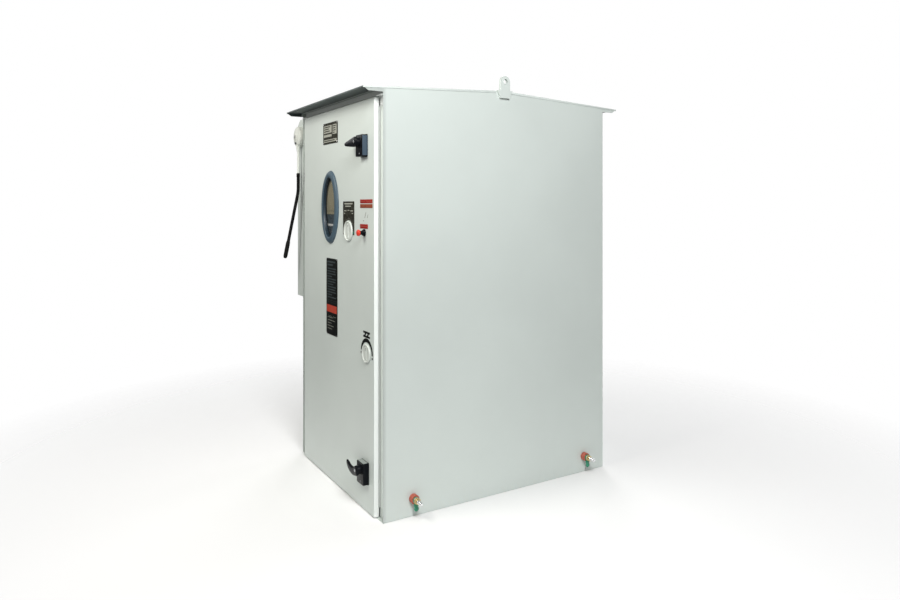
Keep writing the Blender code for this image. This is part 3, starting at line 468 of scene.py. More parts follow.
def loft_mesh(sections, sides=32):
    """A smooth body through upright sections of (x, y, z, half depth in y, half height in z)."""
    power = 2.6  # 2 would make the sections oval, and more makes them squarer
    bm = bmesh.new()
    rings = []
    for x, y, z, half_y, half_z in sections:
        ring = []
        for k in range(sides):
            angle = 2 * pi * k / sides
            c, s = cos(angle), sin(angle)
            squared = (abs(c) ** power + abs(s) ** power) ** (-1 / power)
            ring.append(bm.verts.new((x, y + half_y * c * squared, z + half_z * s * squared)))
        rings.append(ring)
    return skin(bm, rings)


def smooth_path(points, rounding, steps=6):
    """Replaces each inner corner of a path with a small arc-like curve."""
    points = [Vector(p) for p in points]
    out = [points[0]]
    for before, corner, after in zip(points, points[1:], points[2:]):
        back, ahead = before - corner, after - corner
        start = corner + back.normalized() * min(rounding, back.length * 0.45)
        end = corner + ahead.normalized() * min(rounding, ahead.length * 0.45)
        for i in range(steps + 1):
            t = i / steps
            out.append(start * (1 - t) ** 2 + corner * 2 * t * (1 - t) + end * t**2)
    out.append(points[-1])
    return out


def arc(centre, radius, start, end, steps):
    for i in range(steps + 1):
        angle = start + (end - start) * i / steps
        yield (centre[0] + radius * cos(angle), centre[1] + radius * sin(angle))


def rounded_rectangle(lo, hi, radius, steps=5):
    points = []
    for x, z, quarter in ((hi[0], hi[1], 0), (lo[0], hi[1], 1), (lo[0], lo[1], 2), (hi[0], lo[1], 3)):
        centre = (x - radius if x == hi[0] else x + radius, z - radius if z == hi[1] else z + radius)
        points += arc(centre, radius, quarter * pi / 2, (quarter + 1) * pi / 2, steps)
    return points


def merge(meshes):
    """Joins several meshes into one, as separate shells."""
    bm = bmesh.new()
    for part in meshes:
        data = bpy.data.meshes.new("merge")
        part.to_mesh(data)
        part.free()
        bm.from_mesh(data)
        bpy.data.meshes.remove(data)
    return bm


def piece(name, bm, material, body="cabinet", slot=None, sharp=35.0, bevel=0.0, replaces=()):
    """Makes a piece from a mesh and lets it ride on a body, in place of any CAD nodes it replaces."""
    slot = slot or SLOT_FOR[material.name]
    bmesh.ops.recalc_face_normals(bm, faces=bm.faces)
    mesh = bpy.data.meshes.new(name)
    bm.to_mesh(mesh)
    bm.free()
    obj = bpy.data.objects.new(name, mesh)
    bpy.context.scene.collection.objects.link(obj)
    mesh.materials.append(material)
    mesh.shade_smooth()
    mesh.set_sharp_from_angle(angle=radians(sharp))
    if bevel > 0:
        modifier = obj.modifiers.new("rounding", "BEVEL")
        modifier.width = bevel
        modifier.segments = 2
        modifier.limit_method = "ANGLE"
        modifier.angle_limit = radians(35)
        modifier.harden_normals = True
    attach(obj, body)
    if replaces:
        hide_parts(*replaces)
    return obj


def softened(node, material, width=0.0006):
    """A copy of a CAD node with its faces merged and its sharp edges rounded."""
    bm = bmesh.new()
    bm.from_mesh(frame["nodes"][node].data)
    bmesh.ops.remove_doubles(bm, verts=bm.verts, dist=1e-5)
    bmesh.ops.dissolve_limit(bm, angle_limit=radians(1.0), verts=bm.verts, edges=bm.edges)
    return piece(
        f"{node}_finished", bm, material, BODY_OF[node], SLOT_OF[node], bevel=width, replaces=(node,)
    )


def paint_faces(obj, material, chosen):
    """Gives a second material to the faces for which chosen(face) is true."""
    obj.data.materials.append(material)
    for face in obj.data.polygons:
        if chosen(face):
            face.material_index = 1


def screw_head(centre, axis, radius, proud, sides=40):
    """A domed screw head on a face. axis is "x", "y" or "z", and proud is signed along it."""
    profile = [(0.0, 0), (0.0, radius), (0.25 * proud, radius)]
    profile += [(proud * 0.8, radius * 0.72), (proud, radius * 0.35), (proud, 0)]
    return lathe_mesh(profile, axis, centre, sides)


def screws(name, places, axis, radius, proud, material, body="cabinet", sides=40):
    """Screw heads, bolt heads, rivets or spot welds at places, as one piece."""
    heads = [screw_head(place, axis, radius, proud, sides) for place in places]
    piece(name, merge(heads), material, body)


def hex_outline(a, b, across_flats, turn=0.0):
    corner = across_flats / 2 / cos(pi / 6)
    return [(a + corner * cos(turn + i * pi / 3), b + corner * sin(turn + i * pi / 3)) for i in range(6)]


# Camera, lights and floor


FLOOR_RADIUS = 2.7
AIM = Vector((0, 0, 0.75))  # the softboxes point at the middle of the cabinet


def studio():
    view = bpy.data.cameras.new("photo_view")
    view.lens = 27.772
    view.sensor_width = 36.0
    view.shift_y = -0.1053
    camera = bpy.data.objects.new("photo_view", view)
    camera.location = (2.4236, -1.4594, 1.0333)
    camera.rotation_euler = (radians(90), 0.0, radians(58.83))
    bpy.context.scene.collection.objects.link(camera)
    bpy.context.scene.camera = camera

    for name, place, size, power, tint in (
        ("panel_softbox", (2.5, -0.9, 2.35), 1.0, 78.0, (1.0, 1.0, 1.0)),
        ("door_softbox", (0.2, -1.7, 2.08), 0.9, 22.5, (1.0, 0.97, 0.9)),
        ("low_softbox", (-0.4, -3.4, 1.0), 1.5, 6.5, (1.0, 0.97, 0.92)),
        ("left_softbox", (-3.2, -1.6, 2.6), 2.2, 16.0, (1.0, 1.0, 1.0)),
        ("back_softbox", (-0.6, 3.6, 2.8), 2.6, 44.0, (1.0, 1.0, 1.0)),
        ("back_left_softbox", (-3.1, 2.2, 2.1), 2.2, 62.0, (1.0, 1.0, 1.0)),
    ):
        light = bpy.data.lights.new(name, "AREA")
        light.shape = "DISK"
        light.size = size
        light.energy = power
        light.color = tint
        lamp = bpy.data.objects.new(name, light)
        lamp.location = place
        lamp.rotation_euler = (AIM - Vector(place)).to_track_quat("-Z", "Y").to_euler()
        bpy.context.scene.collection.objects.link(lamp)

    # The room is white to look at, and dimmer as a light, so that the softboxes shape the object.
    world = bpy.data.worlds.new("white_room")
    world.use_nodes = True
    tree = world.node_tree
    room_light = tree.nodes["Background"]
    room_light.inputs["Color"].default_value = (1.0, 1.0, 1.0, 1.0)
    room_light.inputs["Strength"].default_value = 0.12
    seen = tree.nodes.new("ShaderNodeBackground")
    seen.inputs["Color"].default_value = (1.0, 1.0, 1.0, 1.0)
    both = tree.nodes.new("ShaderNodeMixShader")
    tree.links.new(tree.nodes.new("ShaderNodeLightPath").outputs["Is Camera Ray"], both.inputs["Fac"])
    tree.links.new(room_light.outputs["Background"], both.inputs[1])
    tree.links.new(seen.outputs["Background"], both.inputs[2])
    tree.links.new(both.outputs["Shader"], tree.nodes["World Output"].inputs["Surface"])
    bpy.context.scene.world = world
    bpy.context.scene.view_settings.view_transform = "Standard"

    bm = bmesh.new()
    bmesh.ops.create_circle(bm, cap_ends=True, cap_tris=True, segments=96, radius=FLOOR_RADIUS)
    mesh = bpy.data.meshes.new("studio_floor")
    bm.to_mesh(mesh)
    bm.free()
    mesh.materials.append(floor_grey)
    floor = bpy.data.objects.new("studio_floor", mesh)
    floor.location.z = -0.0005
    bpy.context.scene.collection.objects.link(floor)


# Cabinet shell

HALF_W = 0.385
TIP_Y = 0.55
RIDGE_Z = 1.445
SLOPE = 0.025 / 0.48
LUG_CLEAR = 0.0345


def roof_top(y):
    return RIDGE_Z - SLOPE * abs(y)


def roof():
    """The roof sheet with its turned-down sides, a dark liner under it as painted shade, and sealed bolts."""
    tip = TIP_Y + 0.0004
    sheet = 0.0028
    crease = [(y, roof_top(y) - 0.0006 * (1 - abs(y) / 0.012)) for y in (-0.008, -0.004, 0.0, 0.004, 0.008)]
    top = [(-tip, roof_top(tip))] + crease + [(tip, roof_top(tip))]
    under = [(y, z - sheet) for y, z in reversed(top)]
    shells = [prism_mesh(top + under, "x", -HALF_W - 0.0012, HALF_W + 0.0012, 0.0006)]
    for side in (-1, 1):
        near, far = side * (HALF_W + 0.0002), side * (HALF_W + 0.0014)
        for end in (-1, 1):
            skirt = [
                (end * LUG_CLEAR, roof_top(LUG_CLEAR) - 0.0085), (end * tip, roof_top(tip) - 0.006),
                (end * tip, roof_top(tip) - 0.0004), (end * LUG_CLEAR, roof_top(LUG_CLEAR) - 0.0004),
            ]
            shells.append(prism_mesh(skirt, "x", near, far, 0.0003))
    piece("roof_sheet", merge(shells), paint, replaces=("roof",))

    # The dark liner is painted shade: a thin dark sheet under the roof, over the ears' inner faces and out to
    # the front and back edges.
    inner = 0.4872  # the liner and the ears start in front of the header, and behind the back panel
    liners = []
    for side in (-1, 1):
        outer = tip + 0.0006
        liner = [
            (side * inner, roof_top(inner) - 0.0042), (side * outer, roof_top(outer) - 0.0042),
            (side * outer, roof_top(outer) - 0.0003), (side * tip, roof_top(tip) - 0.0003),
            (side * tip, roof_top(tip) - 0.0034), (side * inner, roof_top(inner) - 0.0034),
        ]
        liners.append(prism_mesh(liner, "x", -0.3826, 0.3826))
        ear = [
            (side * inner, 1.4024), (side * 0.5318, 1.4024),
            (side * 0.547, roof_top(0.547) - 0.0044), (side * inner, roof_top(inner) - 0.0044),
        ]
        liners += [prism_mesh(ear, "x", x, x + 0.0003) for x in (-0.3829, 0.3826)]
    piece("roof_underside", merge(liners), underside_painted_shade)

    washer = [(0, 0), (0, 0.011), (0.0016, 0.0105), (0.0022, 0.009), (0.0022, 0)]
    bolts, washers = [], []
    for y in (-0.44, 0.0, 0.44):
        for x in (-0.345, 0.345):
            z = roof_top(y) - (0.0006 if y == 0 else 0.0002)
            washers.append(lathe_mesh(washer, "z", (x, y, z), 32))
            bolts.append((x, y, z + 0.002))
    piece("roof_bolt_seals", merge(washers), rubber)
    screws("roof_bolts", bolts, "z", 0.0065, 0.0042, steel)


def shell():
    roof()
    for node in ("left_side_panel", "right_side_panel"):
        softened(node, side_paint, 0.0007)
    softened("back_panel", paint, 0.0007)
    # The header under the roof has the lighter paint: painted light where the roof's shade falls.
    softened("header_rail", painted_highlight_paint, 0.0008)
    softened("sill_rail", paint, 0.0008)
    # The front posts have a lighter copy of the paint: painted light in the shaded gap beside the door.
    for node in ("left_front_post", "right_front_post"):
        softened(node, frame_painted_light, 0.0008)
    # The floor pan has the darker copy: painted shade inside the cabinet.
    softened("floor_pan", inner_painted_shade, 0.0006)
    softened("gland_plate", zinc, 0.0005)

    # A grey rubber lip on the latch-side post closes the gap beside the door; its grey is painted shade for
    # that gap.
    lip = [
        (0.3388, -0.4683), (0.3388, -0.4735), (0.3396, -0.4748), (0.3408, -0.4748), (0.3418, -0.4735),
        (0.342, -0.47), (0.3445, -0.469), (0.3445, -0.4683),
    ]
    piece("latch_side_lip", prism_mesh(lip, "z", 0.036, 1.36), lip_rubber_painted_shade)

    places = [(x, 0.48, z) for x in (-0.36, -0.12, 0.12, 0.36) for z in (0.03, 1.385)]
    places += [(x, 0.48, z) for x in (-0.36, 0.36) for z in (0.37, 0.71, 1.05)]
    screws("back_panel_screws", places, "y", 0.006, 0.003, bright_zinc)

    plugs, nuts = [], []
    for x in (-0.055, 0.0, 0.055):
        centre = (x, 0.275, 0.0053)
        nuts.append(prism_mesh(hex_outline(x, 0.275, 0.03), "z", 0.0053, 0.0133, 0.0012))
        dome = [(0.008, 0), (0.008, 0.0125), (0.016, 0.012), (0.0205, 0.0095), (0.0225, 0.0055), (0.023, 0)]
        plugs.append(lathe_mesh(dome, "z", centre, 48))
    piece("gland_nuts", merge(nuts), dark_plastic)
    piece("gland_plugs", merge(plugs), black)


def lifting_lugs():
    for name, side in (("left", -1), ("right", 1)):
        softened(f"{name}_lifting_lug", paint, 0.0012)
        face = side * (HALF_W + 0.0003)
        out = side * (HALF_W + 0.0103)
        beads = [tube_mesh([(face + side * 0.001, y, 1.4168) for y in (-0.0205, -0.01, 0.0, 0.01, 0.0205)],
                           [0.0012, 0.0021, 0.0018, 0.0021, 0.0012], 10)]
        for end in (-1, 1):
            points = [(face + side * 0.001, end * 0.0215, 1.417 + 0.005 * i) for i in range(3)]
            beads.append(tube_mesh(points, [0.0012, 0.002, 0.0012], 10))
        piece(f"{name}_lug_weld", merge(beads), paint, sharp=60)
        ring = [(0.0, 0.0088), (0.0, 0.0112), (side * 0.0008, 0.0108), (side * 0.0008, 0.0088), (0.0, 0.0088)]
        piece(f"{name}_lug_eye_rim", lathe_mesh(ring, "x", (out, 0.0, 1.477), 48), paint)


def thread_profile(start, end, radius, pitch=0.00175, depth=0.0009):
    """The outline of a threaded bar from start to end, with a chamfered tip."""
    points = [(start, 0), (start, radius - depth)]
    level = start + 0.001
    while level < end - 0.003:
        points += [(level, radius - depth), (level + pitch * 0.4, radius), (level + pitch * 0.55, radius)]
        level += pitch
    return points + [(end - 0.002, radius - depth), (end, radius - 0.002), (end, 0)]


def earth_terminals():
    for place in ("front", "rear"):
        lo, hi = BOX[f"{place}_earth_boss"]
        y, z = (lo.y + hi.y) / 2, (lo.z + hi.z) / 2
        centre = (0.0, y, z)
        r = (hi.z - lo.z) / 2
        boss = [
            (lo.x, 0), (lo.x, r - 0.0006), (lo.x + 0.0006, r), (hi.x - 0.0018, r),
            (hi.x - 0.0005, r - 0.0006), (hi.x, r - 0.0018), (hi.x, 0.0066),
            (lo.x + 0.006, 0.0066), (lo.x + 0.006, 0),
        ]
        name = f"{place}_earth"
        piece(f"{name}_boss_turned", lathe_mesh(boss, "x", centre), boss_paint,
              replaces=(f"{place}_earth_boss",))

        stud = BOX[f"{place}_earth_stud"]
        piece(f"{name}_stud_thread",
              lathe_mesh(thread_profile(stud[0].x + 0.0005, stud[1].x, 0.006), "x", centre, 40),
              bright_steel, sharp=50, replaces=(f"{place}_earth_stud",))

        clamp = BOX[f"{place}_earth_clamp"]
        back, front = clamp[0].x, clamp[1].x
        lobe_r = 0.008
        outline = list(arc((y, z), 0.0108, radians(-56), radians(236), 30))
        outline += list(arc((y, z - 0.0175), lobe_r, radians(150), radians(225), 8))
        outline += list(arc((y + 0.0015, z - 0.0285), lobe_r, radians(140), radians(400), 24))
        outline += list(arc((y, z - 0.0175), lobe_r, radians(-45), radians(30), 8))
        piece(f"{name}_clamp_body", prism_mesh(outline, "x", back, front, 0.0009), green,
              replaces=(f"{place}_earth_clamp",))
        rim = [(0, 0.0064), (0, 0.01), (0.0012, 0.0094), (0.0012, 0.0064), (0, 0.0064)]
        washer = lathe_mesh(rim, "x", (front + 0.0001, y, z), 48)
        piece(f"{name}_washer", washer, bright_zinc)
        nut = prism_mesh(hex_outline(y, z, 0.0195, pi / 6), "x", front + 0.0014, front + 0.0118, 0.001)
        dome = lathe_mesh([(0, 0.0064), (0, 0.0094), (0.0016, 0.0082), (0.0016, 0.0064), (0, 0.0064)], "x",
                          (front + 0.0117, y, z), 48)
        piece(f"{name}_nut", merge([nut, dome]), brass)
        rivet = lathe_mesh([(0.0008, 0), (0.0005, 0.0022), (0, 0.003), (-0.0004, 0.003), (-0.0004, 0)], "x",
                           (front, y + 0.0015, z - 0.0285), 32)
        piece(f"{name}_clamp_rivet", rivet, green)


# Door


def bars(name, rectangles, front, material, body="door", slot=None):
    """Printed bars (x0, x1, z0, z1) on a plate whose face is at y = front."""
    shells = [box_mesh((x0, front - PROUD, z0), (x1, front, z1)) for x0, x1, z0, z1 in rectangles]
    piece(name, merge(shells), material, body, slot)


def plate(name, node, material, radius):
    lo, hi = BOX[node]
    outline = rounded_rectangle((lo.x, lo.z), (hi.x, hi.z), radius)
    piece(name, prism_mesh(outline, "y", lo.y, hi.y, 0.0004), material, "door", replaces=(node,))


def rivets(name, node, inset, radius, proud):
    """Rivets near the four corners of a plate."""
    lo, hi = BOX[node]
    places = [(x, lo.y, z) for x in (lo.x + inset, hi.x - inset) for z in (lo.z + inset, hi.z - inset)]
    screws(name, places, "y", radius, proud, bright_steel, "door", 24)


def text_rows(x0, x1, top, rows, pitch, height, lengths):
    """Rows of bars of different lengths, where the real plate has lines of print."""
    out = []
    for i in range(rows):
        share = lengths[i % len(lengths)]
        z = top - i * pitch
        out.append((x0, x0 + (x1 - x0) * share, z - height, z))
    return out


def door_shell():
    door = softened("door_panel", paint, 0.001)
    # The door's right-hand return has the lighter paint: a painted highlight along that edge.
    paint_faces(door, painted_highlight_paint, lambda face: face.normal.x > 0.9 and face.center.x > 0.3375)
    softened("door_gasket", rubber, 0.0015)
    # The stiffener and its spot welds inside the door have the darker copy: painted shade.
    softened("door_stiffener", inner_painted_shade, 0.0008)
    weld_y = -0.4856  # the stiffener's flanges lie on the inside of the door skin
    welds = [(x, weld_y, z) for x in (-0.26, -0.13, 0.0, 0.13, 0.26) for z in (0.2975, 0.3425)]
    screws("stiffener_spot_welds", welds, "y", 0.004, 0.0004, inner_painted_shade, "door")

    for place in ("upper", "lower"):
        softened(f"{place}_hinge_frame_leaf", steel, 0.0005)
        softened(f"{place}_hinge_door_leaf", steel, 0.0005)
        low, high = BOX[f"{place}_hinge_frame_leaf"]
        places = [(-0.3735, low.y + 0.0128, low.z + rise) for rise in (0.007, 0.023)]
        screws(f"{place}_hinge_screws", places, "y", 0.0028, -0.0008, bright_zinc)
        tip = (-0.3605, -0.4785, high.z)
        cap = [(-0.0012, 0), (-0.0012, 0.0036), (0.0004, 0.0036), (0.0011, 0.0024), (0.0013, 0)]
        piece(f"{place}_hinge_pin_cap", lathe_mesh(cap, "z", tip, 32), bright_steel)


def window():
    lo, hi = BOX["window_bezel"]
    centre = (lo + hi) / 2
    half_w, half_h = (hi.x - lo.x) / 2 - 0.026, (hi.z - lo.z) / 2 - 0.026
    profile = [
        (0.0028, -0.4871), (0.0028, -0.4975), (0.0036, -0.4988), (0.0056, -0.4997), (0.01, -0.5),
        (0.015, -0.4997), (0.0195, -0.4986), (0.0226, -0.4968), (0.0247, -0.4944), (0.0257, -0.492),
        (0.026, -0.4903), (0.0061, -0.4903), (0.0061, -0.4871),
    ]
    piece("window_bezel_moulding", ring_mesh(profile, centre, half_w, half_h), slate, "door", sharp=50,
          replaces=("window_bezel",))
    # The throat is a dark navy inner wall: painted shade inside the bezel's opening.
    throat = [(0.0012, -0.4869), (0.0012, -0.4976), (0.002, -0.4984), (0.0028, -0.498), (0.0028, -0.4869)]
    piece("window_throat_painted_shade", ring_mesh(throat, centre, half_w, half_h), navy, "door", sharp=50)
    seal = [(0.0254, -0.4902), (0.0274, -0.4902), (0.0271, -0.4908), (0.0262, -0.4911), (0.0254, -0.4909)]
    piece("window_seal", ring_mesh(seal, centre, half_w, half_h), slate, "door", sharp=60)

    pane_lo, pane_hi = BOX["window_pane"]
    pw, ph = (pane_hi.x - pane_lo.x) / 2, (pane_hi.z - pane_lo.z) / 2
    angles = [2 * pi * i / 96 for i in range(96)]
    outline = [(centre.x + pw * cos(angle), centre.z + ph * sin(angle)) for angle in angles]
    piece("window_pane_clear", prism_mesh(outline, "y", pane_lo.y, pane_hi.y, 0.0006), pane_clear, "door",
          replaces=("window_pane",))

    plate("display_plate_finished", "display_plate", tan, 0.004)
    face = BOX["display_plate"][0].y
    lines = [(-0.112, 0.016, 1.1245, 1.1255), (-0.112, 0.016, 1.0105, 1.0115)]
    lines += [(-0.085 + 0.01 * i, -0.0842 + 0.01 * i, 1.0115, 1.0165 if i % 2 else 1.02) for i in range(8)]
    bars("display_plate_rules", lines, face, olive_print)

    unit_lo, unit_hi = BOX["indicator_unit"]
    body = box_mesh(unit_lo, unit_hi, 0.003)
    rib = [box_mesh((unit_lo.x + 0.012, unit_hi.y - 0.004, z),
                    (unit_hi.x - 0.012, unit_hi.y + 0.0015, z + 0.004), 0.001)
           for z in (0.93, 0.96, 0.99, 1.02, 1.05, 1.08, 1.11)]
    piece("indicator_unit_case", merge([body, *rib]), navy, "door", replaces=("indicator_unit",))
    front = unit_lo.y
    outline = rounded_rectangle((-0.112, 0.905), (0.016, 0.95), 0.004)
    lens = prism_mesh(outline, "y", front - 0.0012, front, 0.0004)
    piece("indicator_lens", lens, navy_lens, "door")
    outline = rounded_rectangle((-0.115, 0.9546), (0.019, 0.9626), 0.001)
    strip = prism_mesh(outline, "y", front - 0.0014, front, 0.0003)
    piece("indicator_strip", strip, light_plastic, "door")
    marks = [(-0.104, -0.06, 0.9815, 0.983), (-0.052, -0.03, 0.9815, 0.983)]
    bars("indicator_marks", marks, front, navy_lens)


def plates():
    plate("nameplate_metal", "nameplate", olive_print, 0.004)
    lo, hi = BOX["nameplate"]
    face = lo.y
    fields = [
        (lo.x + 0.008, lo.x + 0.088, hi.z - 0.038, hi.z - 0.01),
        (lo.x + 0.098, hi.x - 0.008, hi.z - 0.046, hi.z - 0.01),
        (lo.x + 0.008, lo.x + 0.088, hi.z - 0.053, hi.z - 0.044),
        (lo.x + 0.008, hi.x - 0.008, lo.z + 0.007, lo.z + 0.017),
    ]
    bars("nameplate_fields", fields, face, pale_print)
    marks = text_rows(lo.x + 0.012, lo.x + 0.08, hi.z - 0.0135, 3, 0.008, 0.0038, (0.9, 0.72, 0.84))
    marks += text_rows(lo.x + 0.102, hi.x - 0.014, hi.z - 0.014, 4, 0.008, 0.0036, (0.95, 0.8, 0.88, 0.55))
    marks += text_rows(lo.x + 0.012, hi.x - 0.016, lo.z + 0.014, 1, 0.008, 0.0036, (0.92,))
    bars("nameplate_marks", marks, face - PROUD, olive_print)
    rivets("nameplate_rivets", "nameplate", 0.0042, 0.0022, -0.0012)

    plate("instruction_plate_metal", "instruction_plate", black_print, 0.005)
    lo, hi = BOX["instruction_plate"]
    face = lo.y
    left, right = lo.x + 0.009, hi.x - 0.009
    rows = text_rows(left, right, 0.823, 2, 0.011, 0.0058, (0.86, 0.62))
    rows += text_rows(left, right, 0.797, 12, 0.0098, 0.004, (0.96, 0.88, 0.93, 0.52, 0.97, 0.9, 0.66))
    rows += [(left, right, 0.6755, 0.6763), (left, right, 0.6685, 0.6693)]
    bars("instruction_print", rows, face, faint_print)
    bars("instruction_red_band", [(lo.x + 0.004, hi.x - 0.004, 0.631, 0.658)], face, band_print)
    fine = text_rows(left + 0.004, right - 0.006, 0.612, 5, 0.0106, 0.0012, (0.62, 0.9, 0.48, 0.74, 0.55))
    fine += [(left + 0.004 + 0.011 * i, left + 0.01 + 0.011 * i, 0.6155, 0.6168) for i in range(9) if i % 4]
    bars("instruction_fine_print", fine, face, pale_print)
    rivets("instruction_rivets", "instruction_plate", 0.004, 0.0018, -0.0009)

    # Red labels beside the button: two rows above it and one small one over it.
    label_face = DOOR_FACE - 0.0005
    rows = {
        "red_label_upper": ((0.2265, 1.04), (0.3265, 1.053), red_print),
        "red_label_lower": ((0.2265, 1.024), (0.3265, 1.037), rust_print),
        "red_label_small": ((0.2257, 0.954), (0.29, 0.969), red_print),
    }
    for name, (low, high, ink) in rows.items():
        tape = prism_mesh(rounded_rectangle(low, high, 0.001), "y", label_face, DOOR_FACE, 0.0001)
        piece(name, tape, ink, "door")
    marks = [(0.23 + 0.0095 * i, 0.2345 + 0.0095 * i, 1.045, 1.0478) for i in range(10) if i != 4]
    marks += [(0.23 + 0.012 * i, 0.237 + 0.012 * i, 1.0292, 1.0318) for i in range(8) if i != 3]
    marks += [(0.229 + 0.01 * i, 0.2345 + 0.01 * i, 0.96, 0.9628) for i in range(6)]
    bars("red_label_marks", marks, label_face, red_faint_print)
    stroke = (-0.4904, -0.4901)  # the front and the back of a mark on the door
    door_marks = [
        prism_mesh([(0.262, 0.99), (0.266, 0.99), (0.276, 1.01), (0.272, 1.01)], "y", *stroke),
        prism_mesh([(0.283, 0.99), (0.286, 0.99), (0.292, 1.002), (0.289, 1.002)], "y", *stroke),
        box_mesh((0.25, stroke[0], 0.979), (0.258, stroke[1], 0.982)),
    ]
    piece("button_marks", merge(door_marks), grey_print, "door")


def dial(place):
    """A round selector: a pale disc with a raised rim round a recess, and an upright grip bar across it."""
    node, body = f"{place}_dial", f"{place}_selector"
    lo, hi = BOX[node]
    x, z = centre_of(node)
    r = (hi.x - lo.x) / 2
    front, shaft_end = lo.y, hi.y - lo.y
    thick, recess = 0.0055, 0.003
    profile = [
        (recess, 0), (recess, r - 0.007), (recess - 0.0004, r - 0.0064), (0.0005, r - 0.0046),
        (0, r - 0.004), (0, r - 0.0014), (0.0005, r - 0.0005), (0.0014, r), (thick - 0.0005, r),
        (thick, r - 0.0006), (thick, 0.005), (shaft_end, 0.005), (shaft_end, 0),
    ]
    disc = lathe_mesh(profile, "y", (x, front, z), 128)
    reach = r - 0.01
    grip = box_mesh((x - 0.004, front + 0.0005, z - reach), (x + 0.004, front + 0.004, z + reach), 0.001, 3)
    piece(f"{place}_dial_disc", merge([disc, grip]), dial_paint, body, replaces=(node,))
    pointer = box_mesh((x - 0.0011, front + 0.0003, z + reach - 0.0125),
                       (x + 0.0011, front + 0.0006, z + reach - 0.002))
    piece(f"{place}_dial_pointer", pointer, black_print, body)


def dials():
    dial("upper")
    dial("lower")

    # The upper dial's legend: an arch-shaped plate, whose legs reach down either side of the disc.
    lo, hi = BOX["legend_plate"]
    x, z = 0.126, 0.9417
    outline = [(hi.x, lo.z), (hi.x, hi.z - 0.004)]
    outline += list(arc((hi.x - 0.004, hi.z - 0.004), 0.004, 0, pi / 2, 5))
    outline += list(arc((lo.x + 0.004, hi.z - 0.004), 0.004, pi / 2, pi, 5))
    outline += [(lo.x, lo.z)]
    reach = 0.039
    foot = lo.z - z
    side = (reach**2 - foot**2) ** 0.5
    outline += [(x - side, lo.z)]
    outline += list(arc((x, z), reach, pi - atan2(foot, side), atan2(foot, side), 40))
    piece("legend_arch", prism_mesh(outline, "y", lo.y, hi.y, 0.0003), olive_print, "door",
          replaces=("legend_plate",))
    face = lo.y
    rows = [(x - 0.036, x + 0.036, 1.0365, 1.0405), (x - 0.028, x + 0.022, 1.028, 1.0315)]
    rows += [(x - 0.04, x - 0.018, 1.012, 1.015), (x + 0.018, x + 0.04, 1.012, 1.015)]
    rows += [(x - 0.042, x - 0.03, 1.003, 1.0055), (x + 0.03, x + 0.042, 1.003, 1.0055)]
    rows += [(x - 0.008, x + 0.008, 1.014, 1.0165)]
    bars("legend_print", rows, face, pale_print)
    ticks = []
    for i in range(9):
        angle = pi / 2 + radians(-52 + 13 * i)
        a, b = 0.0415, 0.0475 if i % 4 == 0 else 0.0448
        across = (-sin(angle) * 0.0006, cos(angle) * 0.0006)
        corners = [(x + r * cos(angle) + s * across[0], z + r * sin(angle) + s * across[1])
                   for r, s in ((a, -1), (b, -1), (b, 1), (a, 1))]
        ticks.append(prism_mesh(corners, "y", face - PROUD, face))
    piece("legend_ticks", merge(ticks), pale_print, "door")
    for spot, ink, colour in ((x + 0.0445, green, "green"), (x - 0.0445, grey_print, "grey")):
        piece(f"legend_dot_{colour}", screw_head((spot, face, 0.936), "y", 0.0032, -0.0008), ink, "door")

    # The lower dial's printed arc, thickest at the top, with its end dots and two slabs above it.
    x, z = 0.28, 0.5345
    start, end, steps = radians(-2), radians(172), 72
    outer, inner = [], []
    for i in range(steps + 1):
        angle = start + (end - start) * i / steps
        half = 0.0044 + 0.0022 * sin(pi * i / steps)
        outer.append((x + (0.044 + half) * cos(angle), z + (0.044 + half) * sin(angle)))
        inner.append((x + (0.044 - half) * cos(angle), z + (0.044 - half) * sin(angle)))
    shapes = [outer + inner[::-1]]
    for angle in (-13, 184):
        spot = (x + 0.045 * cos(radians(angle)), z + 0.045 * sin(radians(angle)))
        shapes.append(list(arc(spot, 0.0045, 0, 2 * pi, 24))[:-1])
    for low in (0.5868, 0.6012):
        shapes.append([(0.252, low), (0.306, low), (0.306, low + 0.0068), (0.252, low + 0.0068)])
    for near in (0.26, 0.281):
        slab = [(near, 0.5935), (near + 0.011, 0.5935), (near + 0.017, 0.6013), (near + 0.006, 0.6013)]
        shapes.append(slab)
    marks = [prism_mesh(shape, "y", DOOR_FACE - PROUD, DOOR_FACE) for shape in shapes]
    piece("lower_dial_arc", merge(marks), black_print, "door")

    for place in ("upper", "lower"):
        softened(f"{place}_switch", light_plastic, 0.0012)
        lo, hi = BOX[f"{place}_switch"]
        places = [(lo.x + 0.008 + 0.0107 * i, hi.y, z) for i in range(4)
                  for z in (lo.z + 0.008, hi.z - 0.008)]
        screws(f"{place}_switch_screws", places, "y", 0.0032, 0.0012, brass, "door")


